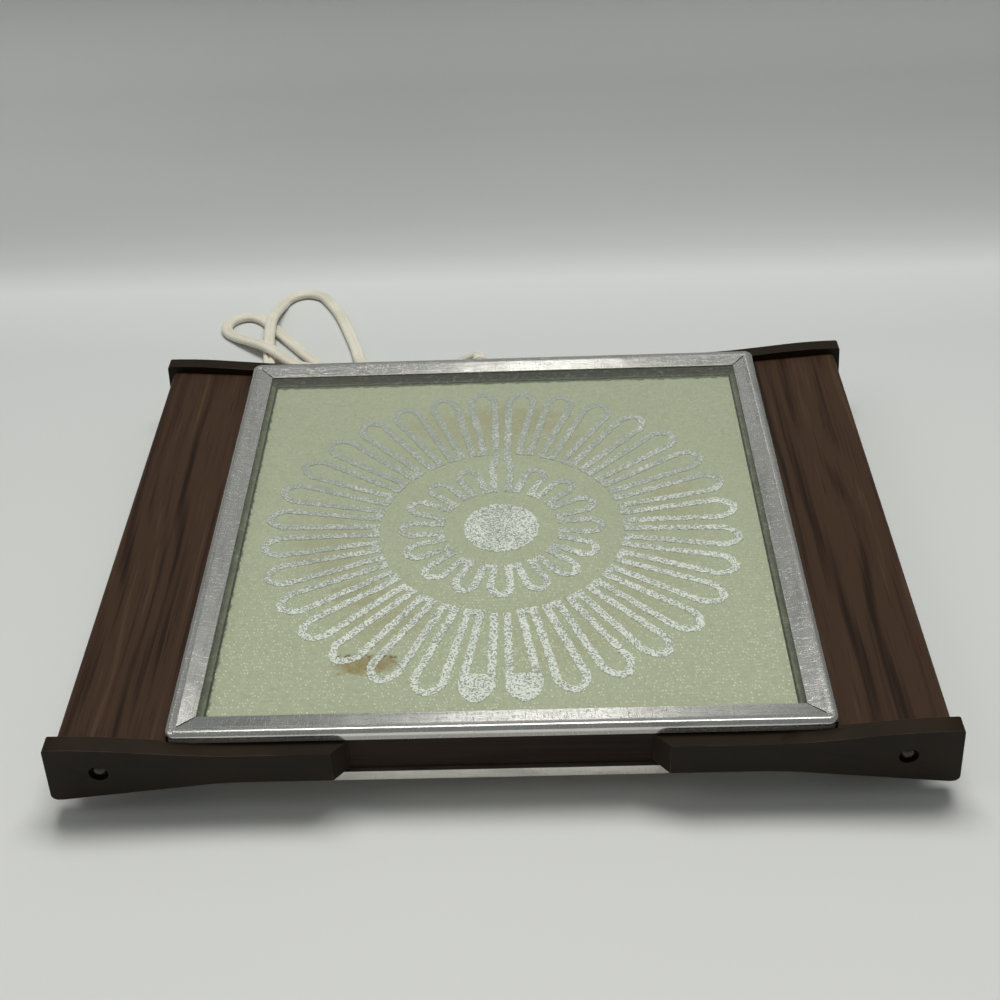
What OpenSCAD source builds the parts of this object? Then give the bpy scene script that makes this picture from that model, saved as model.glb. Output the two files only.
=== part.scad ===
// Electric food warmer tray: a square pane of pebbled glass over a printed heating track,
// held by a bent aluminium frame on a sheet-metal body, with a woodgrain wing on each side
// that two dark moulded brackets carry. X runs to the right, Y to the back, Z up, and the
// rubber feet stand on Z = 0. Millimetres.

/* [Frame] */
// Outside width and depth of the square aluminium frame
frame_side = 292; // [280:1:310]
// Width of the frame's top flange
flange_w = 12.5; // [11:0.5:14]
// How far the flange falls from its outer edge to the glass
flange_fall = 1.9; // [1:0.1:2.5]
// Radius of the frame's rolled outer edge
frame_edge_r = 2.5; // [1.5:0.1:3]
// Radius of the frame's corners, seen from above
frame_corner_r = 5; // [4:0.5:8]
// Height of the frame's outer skirt
skirt_h = 5.5; // [4.5:0.1:6]
// Thickness of the frame's aluminium strip
frame_t = 0.9; // [0.6:0.1:1.2]
// Width of the open mitre cut at each corner
mitre_gap = 0.5; // [0.3:0.1:0.8]

/* [Glass] */
// Thickness of the glass
glass_t = 4.8; // [4:0.1:6]
// How far the glass reaches under the frame's flange
glass_lap = 5.5; // [4:0.5:7]
// Thickness of the gasket that the glass lies on
gasket_t = 1.4; // [1:0.1:2]
// Width of the gasket
gasket_w = 7; // [5:0.5:8]

/* [Heating track] */
// Petals in the outer ring, the two terminals among them
outer_petals = 32; // [24:4:36]
// Places in the inner ring, the open one at the back among them
inner_petals = 16; // [12:4:20]
// Width of the printed line
line_w = 3.6; // [2.6:0.1:3.8]
// Thickness of the printed film
film_t = 0.3; // [0.1:0.05:0.4]
// From the outer ring's tips to the edge of the glass
track_margin = 19; // [17:0.5:23]
// How far the print's middle lies in front of the glass's middle
track_shift = 1.5; // [0:0.5:3]
// Centre to the outer ring's inner ends
outer_root_r = 64; // [62:0.5:66]
// Centre to the inner ring's tips
inner_tip_r = 51; // [49:0.5:52]
// Centre to the inner ring's inner ends
inner_root_r = 31; // [30:0.5:33]
// Radius of the printed disc in the middle
disc_r = 19; // [15:0.5:24]

/* [Body] */
// Overall height, from the table to the top of the frame
tray_h = 42; // [40:0.5:48]
// Thickness of the body's steel sheet
sheet_t = 1; // [0.8:0.1:1.2]
// Height of the pan's turned-up rim, floor included
rim_h = 5.4; // [4:0.1:6]
// Thickness of the rim's folded hem
hem_t = 2.4; // [2:0.1:3]
// Length of each side of the rim between the open corners
rim_len = 250; // [200:5:252]
// Height of the walls above the pan's floor
wall_h = 27; // [26:0.1:27.4]
// Width of the side wall's foot
wall_foot_w = 18; // [16:0.5:19]
// Length of the side wall's end tab
wall_tab = 10; // [6:1:12]
// Width of the ledge that carries the glass
ledge_w = 12; // [10:0.5:13]
// Height of the ledge's upright leg
ledge_leg_h = 6; // [4:0.5:8]

/* [Insulation] */
// Side of the backing board under the glass
board_side = 262; // [250:1:263]
// Thickness of the backing board
board_t = 2; // [1.5:0.1:2.5]
// Side of the insulation blanket
blanket_side = 256; // [246:1:262]
// Side of the reflector sheet
reflector_side = 244; // [238:1:246]
// Height of the wiring space under the reflector
wiring_h = 6; // [5.5:0.1:7]
// Thickness of the reflector sheet
reflector_t = 0.5; // [0.4:0.1:0.8]

/* [Wings] */
// How far a wing reaches out from the body
wing_w = 49.2; // [44:0.2:52]
// Slope of the wing, up towards its outer edge
wing_slope = 4.5; // [3:0.1:6]
// Drop from the frame's top to the wing's inner edge
wing_drop = 7.8; // [7:0.1:9]
// Radius of the wing's rolled outer edge
wing_roll_r = 2.5; // [2:0.1:3]
// Height of the wing's outer lip below the roll
wing_lip_h = 3; // [2:0.5:5]
// Height of the wing's end flanges below its inner edge
wing_end_h = 15; // [13:0.5:16]
// Height of the wing's inner flange
wing_flange_h = 13; // [12.5:0.1:14]

/* [Brackets] */
// Thickness of a bracket
bracket_t = 8.3; // [7.5:0.1:9]
// Gap between the inner ends of two brackets
bracket_gap = 133; // [120:1:150]
// Height of a bracket at its waist
waist_h = 17; // [15.5:0.1:17.4]
// Height of a bracket at its outer end
bracket_end_h = 32; // [30:0.5:34]
// Overall width across the brackets' outer ends
tray_w = 398; // [394:1:404]
// How far a bracket's end leans out at its foot
end_lean = 2; // [0:0.1:3]
// Length of a bracket's waist, from its inner end
waist_len = 45; // [40:1:50]
// Length of the slant at a bracket's inner end
bracket_slant = 7.5; // [5:0.1:8]
// Radius of the bracket's upper outer corner
bracket_top_r = 1.5; // [1:0.1:2.5]
// Radius of the bracket's lower outer corner
bracket_foot_r = 3; // [2:0.1:4]

/* [Feet] */
// Radius of a rubber foot at the pan
foot_r = 10; // [9:0.1:11]
// Radius of a rubber foot at the table
foot_tip_r = 8.5; // [7.5:0.1:9]
// Height of the feet
foot_h = 12.2; // [11.8:0.1:14]
// Inset of a foot's axis from the body's side
foot_inset_x = 11; // [10.5:0.1:12]
// Distance between the feet, front to back
foot_pitch_y = 220; // [200:2:224]

/* [Fasteners] */
// Centre distance of the bracket screws, left to right
screw_pitch_x = 350; // [344:1:356]
// Height of the bracket screws' axis
screw_z = 26.6; // [24:0.1:28]
// Radius of a bracket screw's domed head
screw_head_r = 4; // [3.5:0.1:4.2]
// Gap round a head in its counterbore
head_gap = 0.35; // [0.2:0.05:0.5]
// Depth of the counterbore
counterbore = 3.2; // [2.5:0.1:4]
// Radius of the small screws' and rivets' shanks
shank_r = 1.6; // [1.4:0.1:1.8]
// Gap round a shank in its hole
hole_gap = 0.15; // [0.1:0.05:0.2]
// Centre distance of the hidden apron screws, left to right
apron_screw_pitch = 190; // [180:2:196]
// Rivets along each wing
wing_rivet_count = 3; // [2:1:5]

/* [Electrics] */
// Radius of a terminal stud's shank
stud_r = 1.5; // [1.2:0.1:1.8]
// Radius of a terminal stud's head
stud_head_r = 4.5; // [4:0.1:5]
// Radius of a sleeved lead
lead_r = 1.3; // [1:0.1:1.5]
// Radius of a crimp sleeve
crimp_r = 1.9; // [1.7:0.1:2]
// Length of a crimp sleeve
crimp_len = 12; // [8:1:14]

/* [Cord] */
// Width of the flat twin cord
cord_w = 7.6; // [7.2:0.1:7.8]
// Thickness of the flat twin cord
cord_t = 4.2; // [3.8:0.1:4.3]
// Distance of the cord's exit from the tray's middle
cord_exit_x = 14; // [10:1:20]
// Height of the cord's exit
cord_exit_z = 24.5; // [24.5:0.1:26]
// Length of the strain relief outside the tray
relief_len = 22; // [20:1:24]
// Radius of the strain relief at the tray
relief_r = 6; // [5.6:0.1:6.4]
// Radius of the strain relief at its tip
relief_tip_r = 4.6; // [4.4:0.1:5]

/* [Plug] */
// Length of the plug's body
plug_len = 30; // [26:1:34]
// Width of the plug's body
plug_w = 24; // [22:1:26]
// Thickness of the plug's body
plug_t = 13; // [11:0.5:14]
// Distance between the blades
blade_pitch = 12.7; // [12.5:0.1:13]
// Length of the blades outside the body
blade_len = 16; // [15:0.5:18]

/* [Hidden] */

eps = 0.01;
round_fn = 48;

// ---- Levels, from the table up ----
floor_z = foot_h + sheet_t;                 // top of the pan's floor
rim_z = foot_h + rim_h;                     // top of the pan's rim
wall_top = floor_z + wall_h;
flange_angle = atan(flange_fall / (flange_w - frame_edge_r));
glass_top = tray_h - flange_fall - frame_t * cos(flange_angle) - eps;
glass_z = glass_top - glass_t;
film_z = glass_z - film_t;
ledge_top = glass_z - gasket_t;
board_z = film_z - board_t;
reflector_top = floor_z + wiring_h + reflector_t;
lead_z = floor_z + wiring_h / 2;

// ---- Plan sizes ----
body_gap = 0.1;                             // between the frame's skirt and the walls
notch_gap = 0.4;                            // round a head in the ledge's notch
body_half = frame_side / 2 - frame_t - body_gap;
wall_in = body_half - sheet_t;
glass_side = frame_side - 2 * (flange_w - glass_lap);
gasket_side = glass_side;
skirt_z = tray_h - skirt_h;

// ---- Wings ----
wing_in_z = tray_h - wing_drop;
function wing_z(x) = wing_in_z + (x - body_half) * tan(wing_slope);
wing_edge = body_half + wing_w;
wing_t = sheet_t;

// ---- Brackets ----
bracket_in = bracket_gap / 2;
bracket_out = tray_w / 2;
waist_gap = 0.5;                            // between the frame's skirt and the waist
waist_top = skirt_z - waist_gap;
waist_foot = waist_top - waist_h;
end_top = tray_h;
end_foot = end_top - bracket_end_h;
flare_start = bracket_in + waist_len;
end_land = 0.8;                             // flat left at the bracket's inner end
corner_relief = 0.3;                        // round the frame's corner, over the bracket
screw_x = screw_pitch_x / 2;
apron_screw_x = apron_screw_pitch / 2;
apron_screw_z = (waist_top + waist_foot) / 2;
apron_screw_len = 6;
domed_h = 2.6;
push_nut_r = 4.5;
push_nut_t = 0.8;
shank_tail = 4;

// ---- Feet ----
foot_x = body_half - foot_inset_x;
foot_y = foot_pitch_y / 2;
foot_bore_r = 4.4;
foot_web = 4;                               // rubber between the screw's head and the pan
foot_screw_head_t = 2.2;
nut_r = 3.9;
nut_t = 3;

// ---- Terminals and leads ----
outer_tip_r = glass_side / 2 - track_margin; // centre to the outer ring's tips
petal_pitch = 360 / outer_petals;
pad_r = outer_tip_r - 10;                   // terminal pad's centre, from the middle
stud_x = pad_r * sin(petal_pitch / 2);
stud_y = -track_shift - pad_r * cos(petal_pitch / 2);
stud_head_t = 0.8;
stud_gap = 0.4;
lead_slot = 24;                             // notch in the reflector's back skirt
lead_gap = 6;                               // from the notch's middle to each lead
crimp_x = 17 - cord_exit_x;                 // where the inner cord's conductors end
lead_x = crimp_x + crimp_len + 14;          // the notch's middle
crimp_y = reflector_side / 2 + 7;
conductor_pitch = cord_w / 2;
crimp_z = lead_z + 0.8;

// ---- Cord ----
relief_flange_r = relief_r + 0.8;
relief_neck_r = relief_r - 1.2;
relief_inner_r = relief_r + 0.2;
relief_flange_t = 1.6;
relief_in = 3;                              // length of the strain relief inside the wall
cord_y = body_half + relief_flange_t + relief_len;
lie_z = cord_t / 2 + 0.1;                   // centre of a cord that lies on the table
over_z = lie_z + cord_t + 0.6;              // centre of a cord that crosses another
// The free stretch: out of the strain relief, down to the table, round the long loop,
// under the tray's back edge, round the short loop and on to the hank.
free_route = [
    [-14, cord_y, cord_exit_z], [-14.3, cord_y + 6.6, cord_exit_z - 0.8],
    [-17.5, 181.6, 19.8], [-25, 186, 14.2], [-36, 188.4, 8.2], [-49, 190, 4.1],
    [-62, 191.6, 2.4], [-76, 194.2, lie_z], [-86.6, 199.4, lie_z], [-92.4, 208.6, lie_z],
    [-96.4, 224, lie_z], [-109, 262, lie_z], [-120.2, 284, lie_z], [-126.3, 290.4, lie_z],
    [-134.1, 292.8, lie_z], [-141.9, 290.6, lie_z], [-147.6, 284.8, lie_z], [-150.2, 277, 2.6],
    [-152.2, 266, 5], [-153.6, 252.6, over_z], [-153.7, 240, 5.6], [-152.6, 224.5, 2.6],
    [-149.4, 202.5, lie_z], [-145.6, 190.6, lie_z], [-137.4, 183.4, lie_z],
    [-126.4, 183.2, lie_z], [-118, 191.6, lie_z], [-118.6, 203.4, lie_z],
    [-129.5, 218.4, lie_z], [-153, 250, lie_z], [-160.4, 259.8, lie_z], [-168.6, 264.8, lie_z],
    [-177.4, 263.2, lie_z], [-183.4, 256.2, lie_z], [-182.8, 247.2, lie_z],
    [-175.4, 238.6, 2.8], [-152.6, 219.3, over_z], [-133, 201.6, 5], [-118, 191.6, over_z],
    [-88, 179.6, lie_z]
];
// The hank: an oval of loops that winds in one turn, climbs along a run and winds out again.
hank_x = 22;
hank_y = 144;
hank_run = 152;                             // straight part of a loop, 20 cord widths
hank_fold_r = 22.8;                         // tightest fold, 3 cord widths
hank_step = cord_w + 1.4;                   // from one loop to the next
hank_layer = cord_t + 0.7;                  // from one layer to the next
hank_in_turns = 1;
run_share = 0.25;                           // a run's share of a turn's count of points
hank_turns = 2 * hank_in_turns + run_share;
hank_steps = 24;                            // rings in a loop
waist_pull = hank_fold_r - hank_step / 2;   // how far the tie draws the runs in
waist_reach = hank_run / 2 - 2;
tie_w = 5;
tie_t = 0.6;
hank_end_x = hank_x + hank_run / 2;
hank_end_y = hank_y + hank_fold_r + hank_step * hank_in_turns;
hank_end_z = lie_z + hank_layer;
// The tail, from the hank to the plug
plug_x = 151;
plug_y = 170;
plug_z = plug_t / 2;
tail_route = [
    [hank_end_x, hank_end_y, hank_end_z], [hank_end_x + cord_w, hank_end_y, hank_end_z],
    [113, 175.4, hank_end_z], [120.5, 174.3, hank_end_z - 0.1],
    [128, 172.9, hank_end_z - 0.2], [135.5, 171.5, plug_z + 0.2], [143.5, 170.4, plug_z + 0.1],
    [plug_x, plug_y, plug_z]
];
blade_h = 6.35;
blade_t = 1.5;

// ================= Geometry helpers =================

function unit(v) = v / norm(v);
function reversed(list) = [for (i = [len(list) - 1 : -1 : 0]) list[i]];
function left_of(v) = [-v[1], v[0]];

// A path moved sideways by d, to its left, with mitred corners
function moved(path, d) = [
    for (i = [0 : len(path) - 1])
        let (a = i > 0 ? left_of(unit(path[i] - path[i - 1])) : undef,
             b = i < len(path) - 1 ? left_of(unit(path[i + 1] - path[i])) : undef,
             n = a == undef ? b : b == undef ? a : unit(a + b),
             stretch = a == undef || b == undef ? 1 : 1 / (n * a))
        path[i] + n * d * stretch
];

// The closed outline between a path moved by d1 and the same path moved by d2
function band(path, d1, d2) = concat(moved(path, d1), reversed(moved(path, d2)));

// Points on an arc round c, both ends included
function arc(c, r, from, to, n) = [
    for (i = [0 : n]) let (a = from + (to - from) * i / n) c + r * [cos(a), sin(a)]
];

function spline_point(p, i, t) =
    let (a = p[max(i - 1, 0)], b = p[i], c = p[i + 1], d = p[min(i + 2, len(p) - 1)])
    0.5 * (2 * b + (c - a) * t + (2 * a - 5 * b + 4 * c - d) * t * t
           + (3 * b - a - 3 * c + d) * t * t * t);

// The points with each corner turned into a short curve that starts d before it
function eased(p, d) = concat([p[0]], [
    for (i = [1 : len(p) - 2])
        let (a = p[i] - d * unit(p[i] - p[i - 1]), b = p[i] + d * unit(p[i + 1] - p[i]))
        each [a, (a + 2 * p[i] + b) / 4, b]
], [p[len(p) - 1]]);

// A smooth curve through all the points, with n pieces between neighbours
function smooth(p, n) = concat(
    [for (i = [0 : len(p) - 2], k = [0 : n - 1]) spline_point(p, i, k / n)],
    [p[len(p) - 1]]);

// A flat cord swept along a path: an oval section that stays level across
module swept_cord(path, sides, w = cord_w, t = cord_t) {
    last = len(path) - 1;
    rings = [
        for (i = [0 : last])
            let (along = unit(path[min(i + 1, last)] - path[max(i - 1, 0)]),
                 across = unit(cross([0, 0, 1], along)), up = cross(along, across))
            for (k = [0 : sides - 1])
                let (a = 360 * (k + 0.5) / sides)
                path[i] + across * (w / 2) * cos(a) + up * (t / 2) * sin(a)
    ];
    skin = [
        for (i = [0 : last - 1], k = [0 : sides - 1])
            let (a = i * sides + k, b = i * sides + (k + 1) % sides, c = a + sides, d = b + sides)
            each [[a, c, b], [b, c, d]]
    ];
    start_cap = [for (k = [1 : sides - 2]) [0, k, k + 1]];
    end_cap = [for (k = [1 : sides - 2]) [last * sides, last * sides + k + 1, last * sides + k]];
    polyhedron(points = rings, faces = concat(skin, start_cap, end_cap), convexity = 10);
}

module plate(x, y, z, t) {
    translate([-x / 2, -y / 2, z]) cube([x, y, t]);
}

// A square ring of the given outside and inside
module square_ring(outside, inside, z, t) {
    difference() {
        plate(outside, outside, z, t);
        plate(inside, inside, z - 1, t + 2);
    }
}

module rod(r, x, y, z1, z2) {
    translate([x, y, z1]) cylinder(r = r, h = z2 - z1, $fn = round_fn);
}

// A rod along Y, from y1 to y2
module rod_y(r, x, z, y1, y2) {
    translate([x, y1, z]) rotate([-90, 0, 0]) cylinder(r = r, h = y2 - y1, $fn = round_fn);
}

// A rod along X, from x1 to x2
module rod_x(r, y, z, x1, x2) {
    translate([x1, y, z]) rotate([0, 90, 0]) cylinder(r = r, h = x2 - x1, $fn = round_fn);
}

// Puts a piece drawn for the back right at one of the four corners
module at_corner(right, back) {
    mirror([right ? 0 : 1, 0, 0]) mirror([0, back ? 0 : 1, 0]) children();
}

module at_all_corners() {
    for (right = [false, true], back = [false, true]) at_corner(right, back) children();
}

// ================= Frame and glass =================

// The strip's section: X inwards from the frame's outside, Y up from its top
function frame_section() =
    let (outside = concat(
             [[0, -skirt_h]],
             arc([frame_edge_r, -frame_edge_r], frame_edge_r, 180, 90 - flange_angle / 2, 6),
             [[flange_w, -flange_fall]]))
    band(outside, 0, -frame_t);

module frame_bar() {
    half = frame_side / 2;
    intersection() {
        translate([half, 0, tray_h]) rotate([90, 0, 0]) mirror([1, 0, 0])
            translate([0, 0, -half]) linear_extrude(frame_side) polygon(frame_section());
        translate([0, 0, skirt_z - 1]) linear_extrude(skirt_h + 2)
            polygon([[0, 0], [half, -half], [half + 1, -half], [half + 1, half], [half, half]]);
    }
}

module frame_corner() {
    middle = frame_side / 2 - frame_corner_r;
    translate([middle, middle, tray_h])
        rotate_extrude(angle = 90, $fn = round_fn)
            intersection() {
                translate([frame_corner_r, 0]) mirror([1, 0]) polygon(frame_section());
                translate([0, -skirt_h - 1]) square([frame_corner_r, skirt_h + 2]);
            }
}

module top_frame() {
    half = frame_side / 2;
    color("silver") {
        difference() {
            for (turn = [0 : 3]) rotate([0, 0, 90 * turn]) frame_bar();
            at_all_corners()
                translate([half - frame_corner_r, half - frame_corner_r, skirt_z - 2])
                    cube([frame_corner_r + 2, frame_corner_r + 2, skirt_h + 4]);
            at_all_corners() mitre_cut();
        }
        at_all_corners() frame_corner();
    }
}

module mitre_cut() {
    from = frame_side / 2 - flange_w - 2;
    to = frame_side / 2 - frame_corner_r - 0.5;
    translate([from, from, skirt_z]) rotate([0, 0, 45])
        translate([0, -mitre_gap / 2, 0]) cube([(to - from) * sqrt(2), mitre_gap, skirt_h + 2]);
}

module glass_plate() {
    color("palegoldenrod") plate(glass_side, glass_side, glass_z, glass_t);
}

module glass_gasket() {
    color("dimgray") square_ring(gasket_side, gasket_side - 2 * gasket_w, ledge_top, gasket_t);
}

// An angle ring, notched over the strain relief and the heads of the apron screws
module glass_ledge() {
    leg_z = ledge_top - sheet_t - ledge_leg_h;
    color("gainsboro") difference() {
        union() {
            square_ring(2 * wall_in, 2 * (wall_in - ledge_w), ledge_top - sheet_t, sheet_t);
            square_ring(2 * wall_in, 2 * (wall_in - sheet_t), leg_z, ledge_leg_h + eps);
        }
        ledge_notch(-cord_exit_x, relief_inner_r, cord_exit_z, leg_z);
        for (side = [-1, 1], back = [0, 1]) mirror([0, back, 0])
            ledge_notch(side * apron_screw_x, 2 * shank_r, apron_screw_z, leg_z);
    }
}

module ledge_notch(x, r, z, leg_z) {
    half = r + notch_gap;
    translate([x - half, wall_in - sheet_t - 1, leg_z - 1])
        cube([2 * half, sheet_t + 2, z + half - leg_z + 1]);
}

// ================= Heating track =================

outer_shoulder_r = outer_tip_r - 7.5;
inner_shoulder_r = inner_tip_r - 5;
outer_root_half = outer_root_r * sin(petal_pitch / 2) / 2;
outer_tip_half = 6.8;
inner_pitch = 360 / inner_petals;
inner_root_half = inner_root_r * sin(inner_pitch / 2) * 0.6;
inner_tip_half = 5;

// A petal's centre line in its own axes: X outwards, Y to its left; side is 1 or -1
function petal_leg(root_r, root_half, shoulder_r, tip_half, side) =
    [[root_r, side * root_half], [shoulder_r, side * tip_half]];
// A blunt tip with straight slants
tip_shape = [[0.6, 0.72], [1, 0.26], [1, -0.26], [0.6, -0.72]];
function petal_tip(shoulder_r, tip_r, tip_half, side) = [
    for (p = tip_shape) [shoulder_r + (tip_r - shoulder_r) * p[0], side * tip_half * p[1]]
];
function petal(root_r, root_half, shoulder_r, tip_r, tip_half, side) = concat(
    petal_leg(root_r, root_half, shoulder_r, tip_half, side),
    petal_tip(shoulder_r, tip_r, tip_half, side),
    reversed(petal_leg(root_r, root_half, shoulder_r, tip_half, -side)));
function turned(points, a) = [
    for (p = points) [p[0] * cos(a) - p[1] * sin(a), p[0] * sin(a) + p[1] * cos(a)]
];
function outer_petal() =
    petal(outer_root_r, outer_root_half, outer_shoulder_r, outer_tip_r, outer_tip_half, 1);
function inner_petal() =
    petal(inner_root_r, inner_root_half, inner_shoulder_r, inner_tip_r, inner_tip_half, -1);

// The first petal has two more points, where its filled tip, the terminal, begins
pad_from = outer_shoulder_r - 8;
function pad_half() = outer_root_half + (outer_tip_half - outer_root_half)
    * (pad_from - outer_root_r) / (outer_shoulder_r - outer_root_r);
function first_petal() =
    let (p = outer_petal(), last = len(p) - 1)
    concat([p[0], [pad_from, pad_half()]], [for (i = [1 : last - 1]) p[i]],
           [[pad_from, -pad_half()], p[last]]);

// Left half of the line: from the blind end beside the front middle, over the left
// terminal, round the outer ring to the back, in through the gap there, and round the
// inner ring to the middle of its front petal
function left_line() =
    let (first = -90 - petal_pitch / 2, outer_count = outer_petals / 2 - 1,
         inner_count = inner_petals / 2 - 1,
         back = turned(outer_petal(), first - petal_pitch * outer_count),
         front = turned(inner_petal(), 90 + inner_pitch * (inner_count + 1)))
    concat(
        turned(first_petal(), first),
        [for (k = [1 : outer_count]) each turned(outer_petal(), first - petal_pitch * k)],
        [[back[len(back) - 1][0], outer_root_r - 5], [-inner_tip_half, inner_tip_r],
         [-inner_root_half, inner_root_r * cos(inner_pitch / 4)]],
        [for (k = [1 : inner_count]) each turned(inner_petal(), 90 + inner_pitch * k)],
        [for (i = [0 : 3]) front[i]]);

// The film's outline: both halves as one line, whose right-hand edge cuts straight
// across inside the first and the last petal and so fills their tips
function track_outline() =
    let (left = left_line(), tip = [0, -inner_tip_r],
         line = concat(left, [tip], [for (p = reversed(left)) [-p[0], p[1]]]),
         last = len(line) - 1, inside = moved(line, -line_w / 2))
    concat(moved(line, line_w / 2),
           [for (i = [last : -1 : 0]) let (k = min(i, last - i))
               if (k < 2 || k > len(tip_shape) + 3) inside[i]]);

module heating_track() {
    color("lightsteelblue") translate([0, -track_shift, film_z]) linear_extrude(film_t)
        polygon(track_outline());
}

module centre_disc() {
    color("lightsteelblue") rod(disc_r, 0, -track_shift, film_z, glass_z);
}

// ================= Under the glass =================

// A through hole for each terminal stud
module stud_holes(r, z1, z2) {
    for (side = [-1, 1]) rod(r, side * stud_x, stud_y, z1, z2);
}

module backing_board() {
    color("khaki") difference() {
        plate(board_side, board_side, board_z, board_t);
        stud_holes(stud_r + stud_gap, board_z - 1, film_z + 1);
        stud_holes(stud_head_r + stud_gap, film_z - stud_head_t - eps, film_z + 1);
    }
}

module insulation_blanket() {
    color("lemonchiffon") difference() {
        plate(blanket_side, blanket_side, reflector_top, board_z - reflector_top);
        stud_holes(stud_r + 1.5, reflector_top - 1, board_z + 1);
    }
}

module reflector_sheet() {
    half = reflector_side / 2;
    color("whitesmoke") difference() {
        plate(reflector_side, reflector_side, floor_z, wiring_h + reflector_t);
        plate(reflector_side - 2 * reflector_t, reflector_side - 2 * reflector_t,
              floor_z - 1, wiring_h + 1);
        stud_holes(stud_r + 1.5, reflector_top - 2, reflector_top + 1);
        translate([lead_x - lead_slot / 2, half - 2, floor_z - 1])
            cube([lead_slot, 4, wiring_h]);
    }
}

// ================= Body =================

module apron(back) {
    y = back ? wall_in : -body_half;
    difference() {
        translate([-body_half, y, floor_z]) cube([2 * body_half, sheet_t, wall_h]);
        for (side = [-1, 1])
            rod_y(shank_r + hole_gap, side * apron_screw_x, apron_screw_z, y - 1, y + 3);
        if (back)
            rod_y(relief_neck_r + hole_gap, -cord_exit_x, cord_exit_z, y - 1, y + 3);
    }
}

module front_apron() {
    color("#3a2a22") apron(false);
}

module back_apron() {
    color("#3a2a22") apron(true);
}

// Rivet places along a wing, front to back
function rivet_y(i) = (wing_rivet_count == 1 ? 0 : i / (wing_rivet_count - 1) - 0.5)
    * 0.8 * 2 * body_half;
rivet_z = wing_in_z - wing_flange_h + shank_r + 1.4;
rivet_head_r = 2.4;
rivet_head_t = 1;

// The right side wall: an upright with end tabs behind the aprons and a turned-in foot
module side_wall() {
    tab_top = ledge_top - sheet_t - ledge_leg_h - 0.5;
    difference() {
        union() {
            translate([wall_in, -wall_in, floor_z]) cube([sheet_t, 2 * wall_in, wall_h]);
            translate([body_half - wall_foot_w, -wall_in, floor_z])
                cube([wall_foot_w, 2 * wall_in, sheet_t]);
            for (back = [0, 1]) mirror([0, back, 0])
                translate([body_half - wall_tab, -wall_in, floor_z])
                    cube([wall_tab, sheet_t, tab_top - floor_z]);
        }
        for (side = [-1, 1])
            rod(shank_r + hole_gap, foot_x, side * foot_y, floor_z - 1, floor_z + 3);
        for (i = [0 : wing_rivet_count - 1])
            rod_x(shank_r + hole_gap, rivet_y(i), rivet_z, wall_in - 1, body_half + 1);
    }
}

module side_wall_left() {
    color("dimgray") mirror([1, 0, 0]) side_wall();
}

module side_wall_right() {
    color("dimgray") side_wall();
}

module bottom_pan() {
    outside = body_half + hem_t;
    color("lightgray") difference() {
        union() {
            plate(2 * body_half, 2 * body_half, foot_h, sheet_t);
            for (turn = [0 : 3]) rotate([0, 0, 90 * turn]) {
                translate([-rim_len / 2, body_half - 1, foot_h])
                    cube([rim_len, hem_t + 1, sheet_t]);
                translate([-rim_len / 2, body_half, foot_h]) cube([rim_len, hem_t, rim_h]);
            }
        }
        at_all_corners() rod(shank_r + hole_gap, foot_x, foot_y, foot_h - 1, floor_z + 1);
    }
}

// ================= Wings =================

// The wing's section: inner flange, slope, rolled edge and lip, as one bent sheet
function wing_section() =
    let (roll_x = wing_edge - wing_roll_r, roll_z = wing_z(roll_x) - wing_roll_r,
         top = concat(
             [[body_half, wing_in_z - wing_flange_h], [body_half, wing_in_z]],
             arc([roll_x, roll_z], wing_roll_r, 90 + wing_slope, 0, 5),
             [[wing_edge, roll_z - wing_lip_h]]))
    band(top, 0, -wing_t);

module wing() {
    end_z = wing_in_z - wing_end_h;
    end_x = wing_edge - wing_roll_r - wing_t - 1;
    difference() {
        union() {
            translate([0, body_half, 0]) rotate([90, 0, 0])
                linear_extrude(2 * body_half) polygon(wing_section());
            for (back = [0, 1]) mirror([0, back, 0])
                translate([0, -wall_in, 0]) rotate([90, 0, 0]) linear_extrude(sheet_t)
                    polygon([[body_half + eps, end_z], [end_x, end_z],
                             [end_x, wing_z(end_x) - wing_t / 2],
                             [body_half + eps, wing_in_z - wing_t / 2]]);
        }
        rod_y(shank_r + hole_gap, screw_x, screw_z, -body_half - 1, body_half + 1);
        for (i = [0 : wing_rivet_count - 1])
            rod_x(shank_r + hole_gap, rivet_y(i), rivet_z, body_half - 1, body_half + 2);
    }
}

module wing_left() {
    color("#5a4034") mirror([1, 0, 0]) wing();
}

module wing_right() {
    color("#5a4034") wing();
}

module wing_rivets() {
    color("silver") for (right = [0, 1]) mirror([1 - right, 0, 0])
        for (i = [0 : wing_rivet_count - 1]) {
            rod_x(shank_r, rivet_y(i), rivet_z, wall_in - eps, body_half + wing_t + eps);
            rod_x(rivet_head_r, rivet_y(i), rivet_z, wall_in - rivet_head_t, wall_in);
            rod_x(rivet_head_r, rivet_y(i), rivet_z, body_half + wing_t,
                  body_half + wing_t + rivet_head_t);
        }
}

// ================= Brackets =================

// Rise of the bracket's top along its flare: flat, steep, flat again
function top_rise(u) = (1 - cos(180 * u)) / 2;
// Fall of its lower edge: a short bend, then straight
bend_share = 0.25;
function foot_fall(u) = (u < bend_share ? u * u / (2 * bend_share) : u - bend_share / 2)
    / (1 - bend_share / 2);

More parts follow.
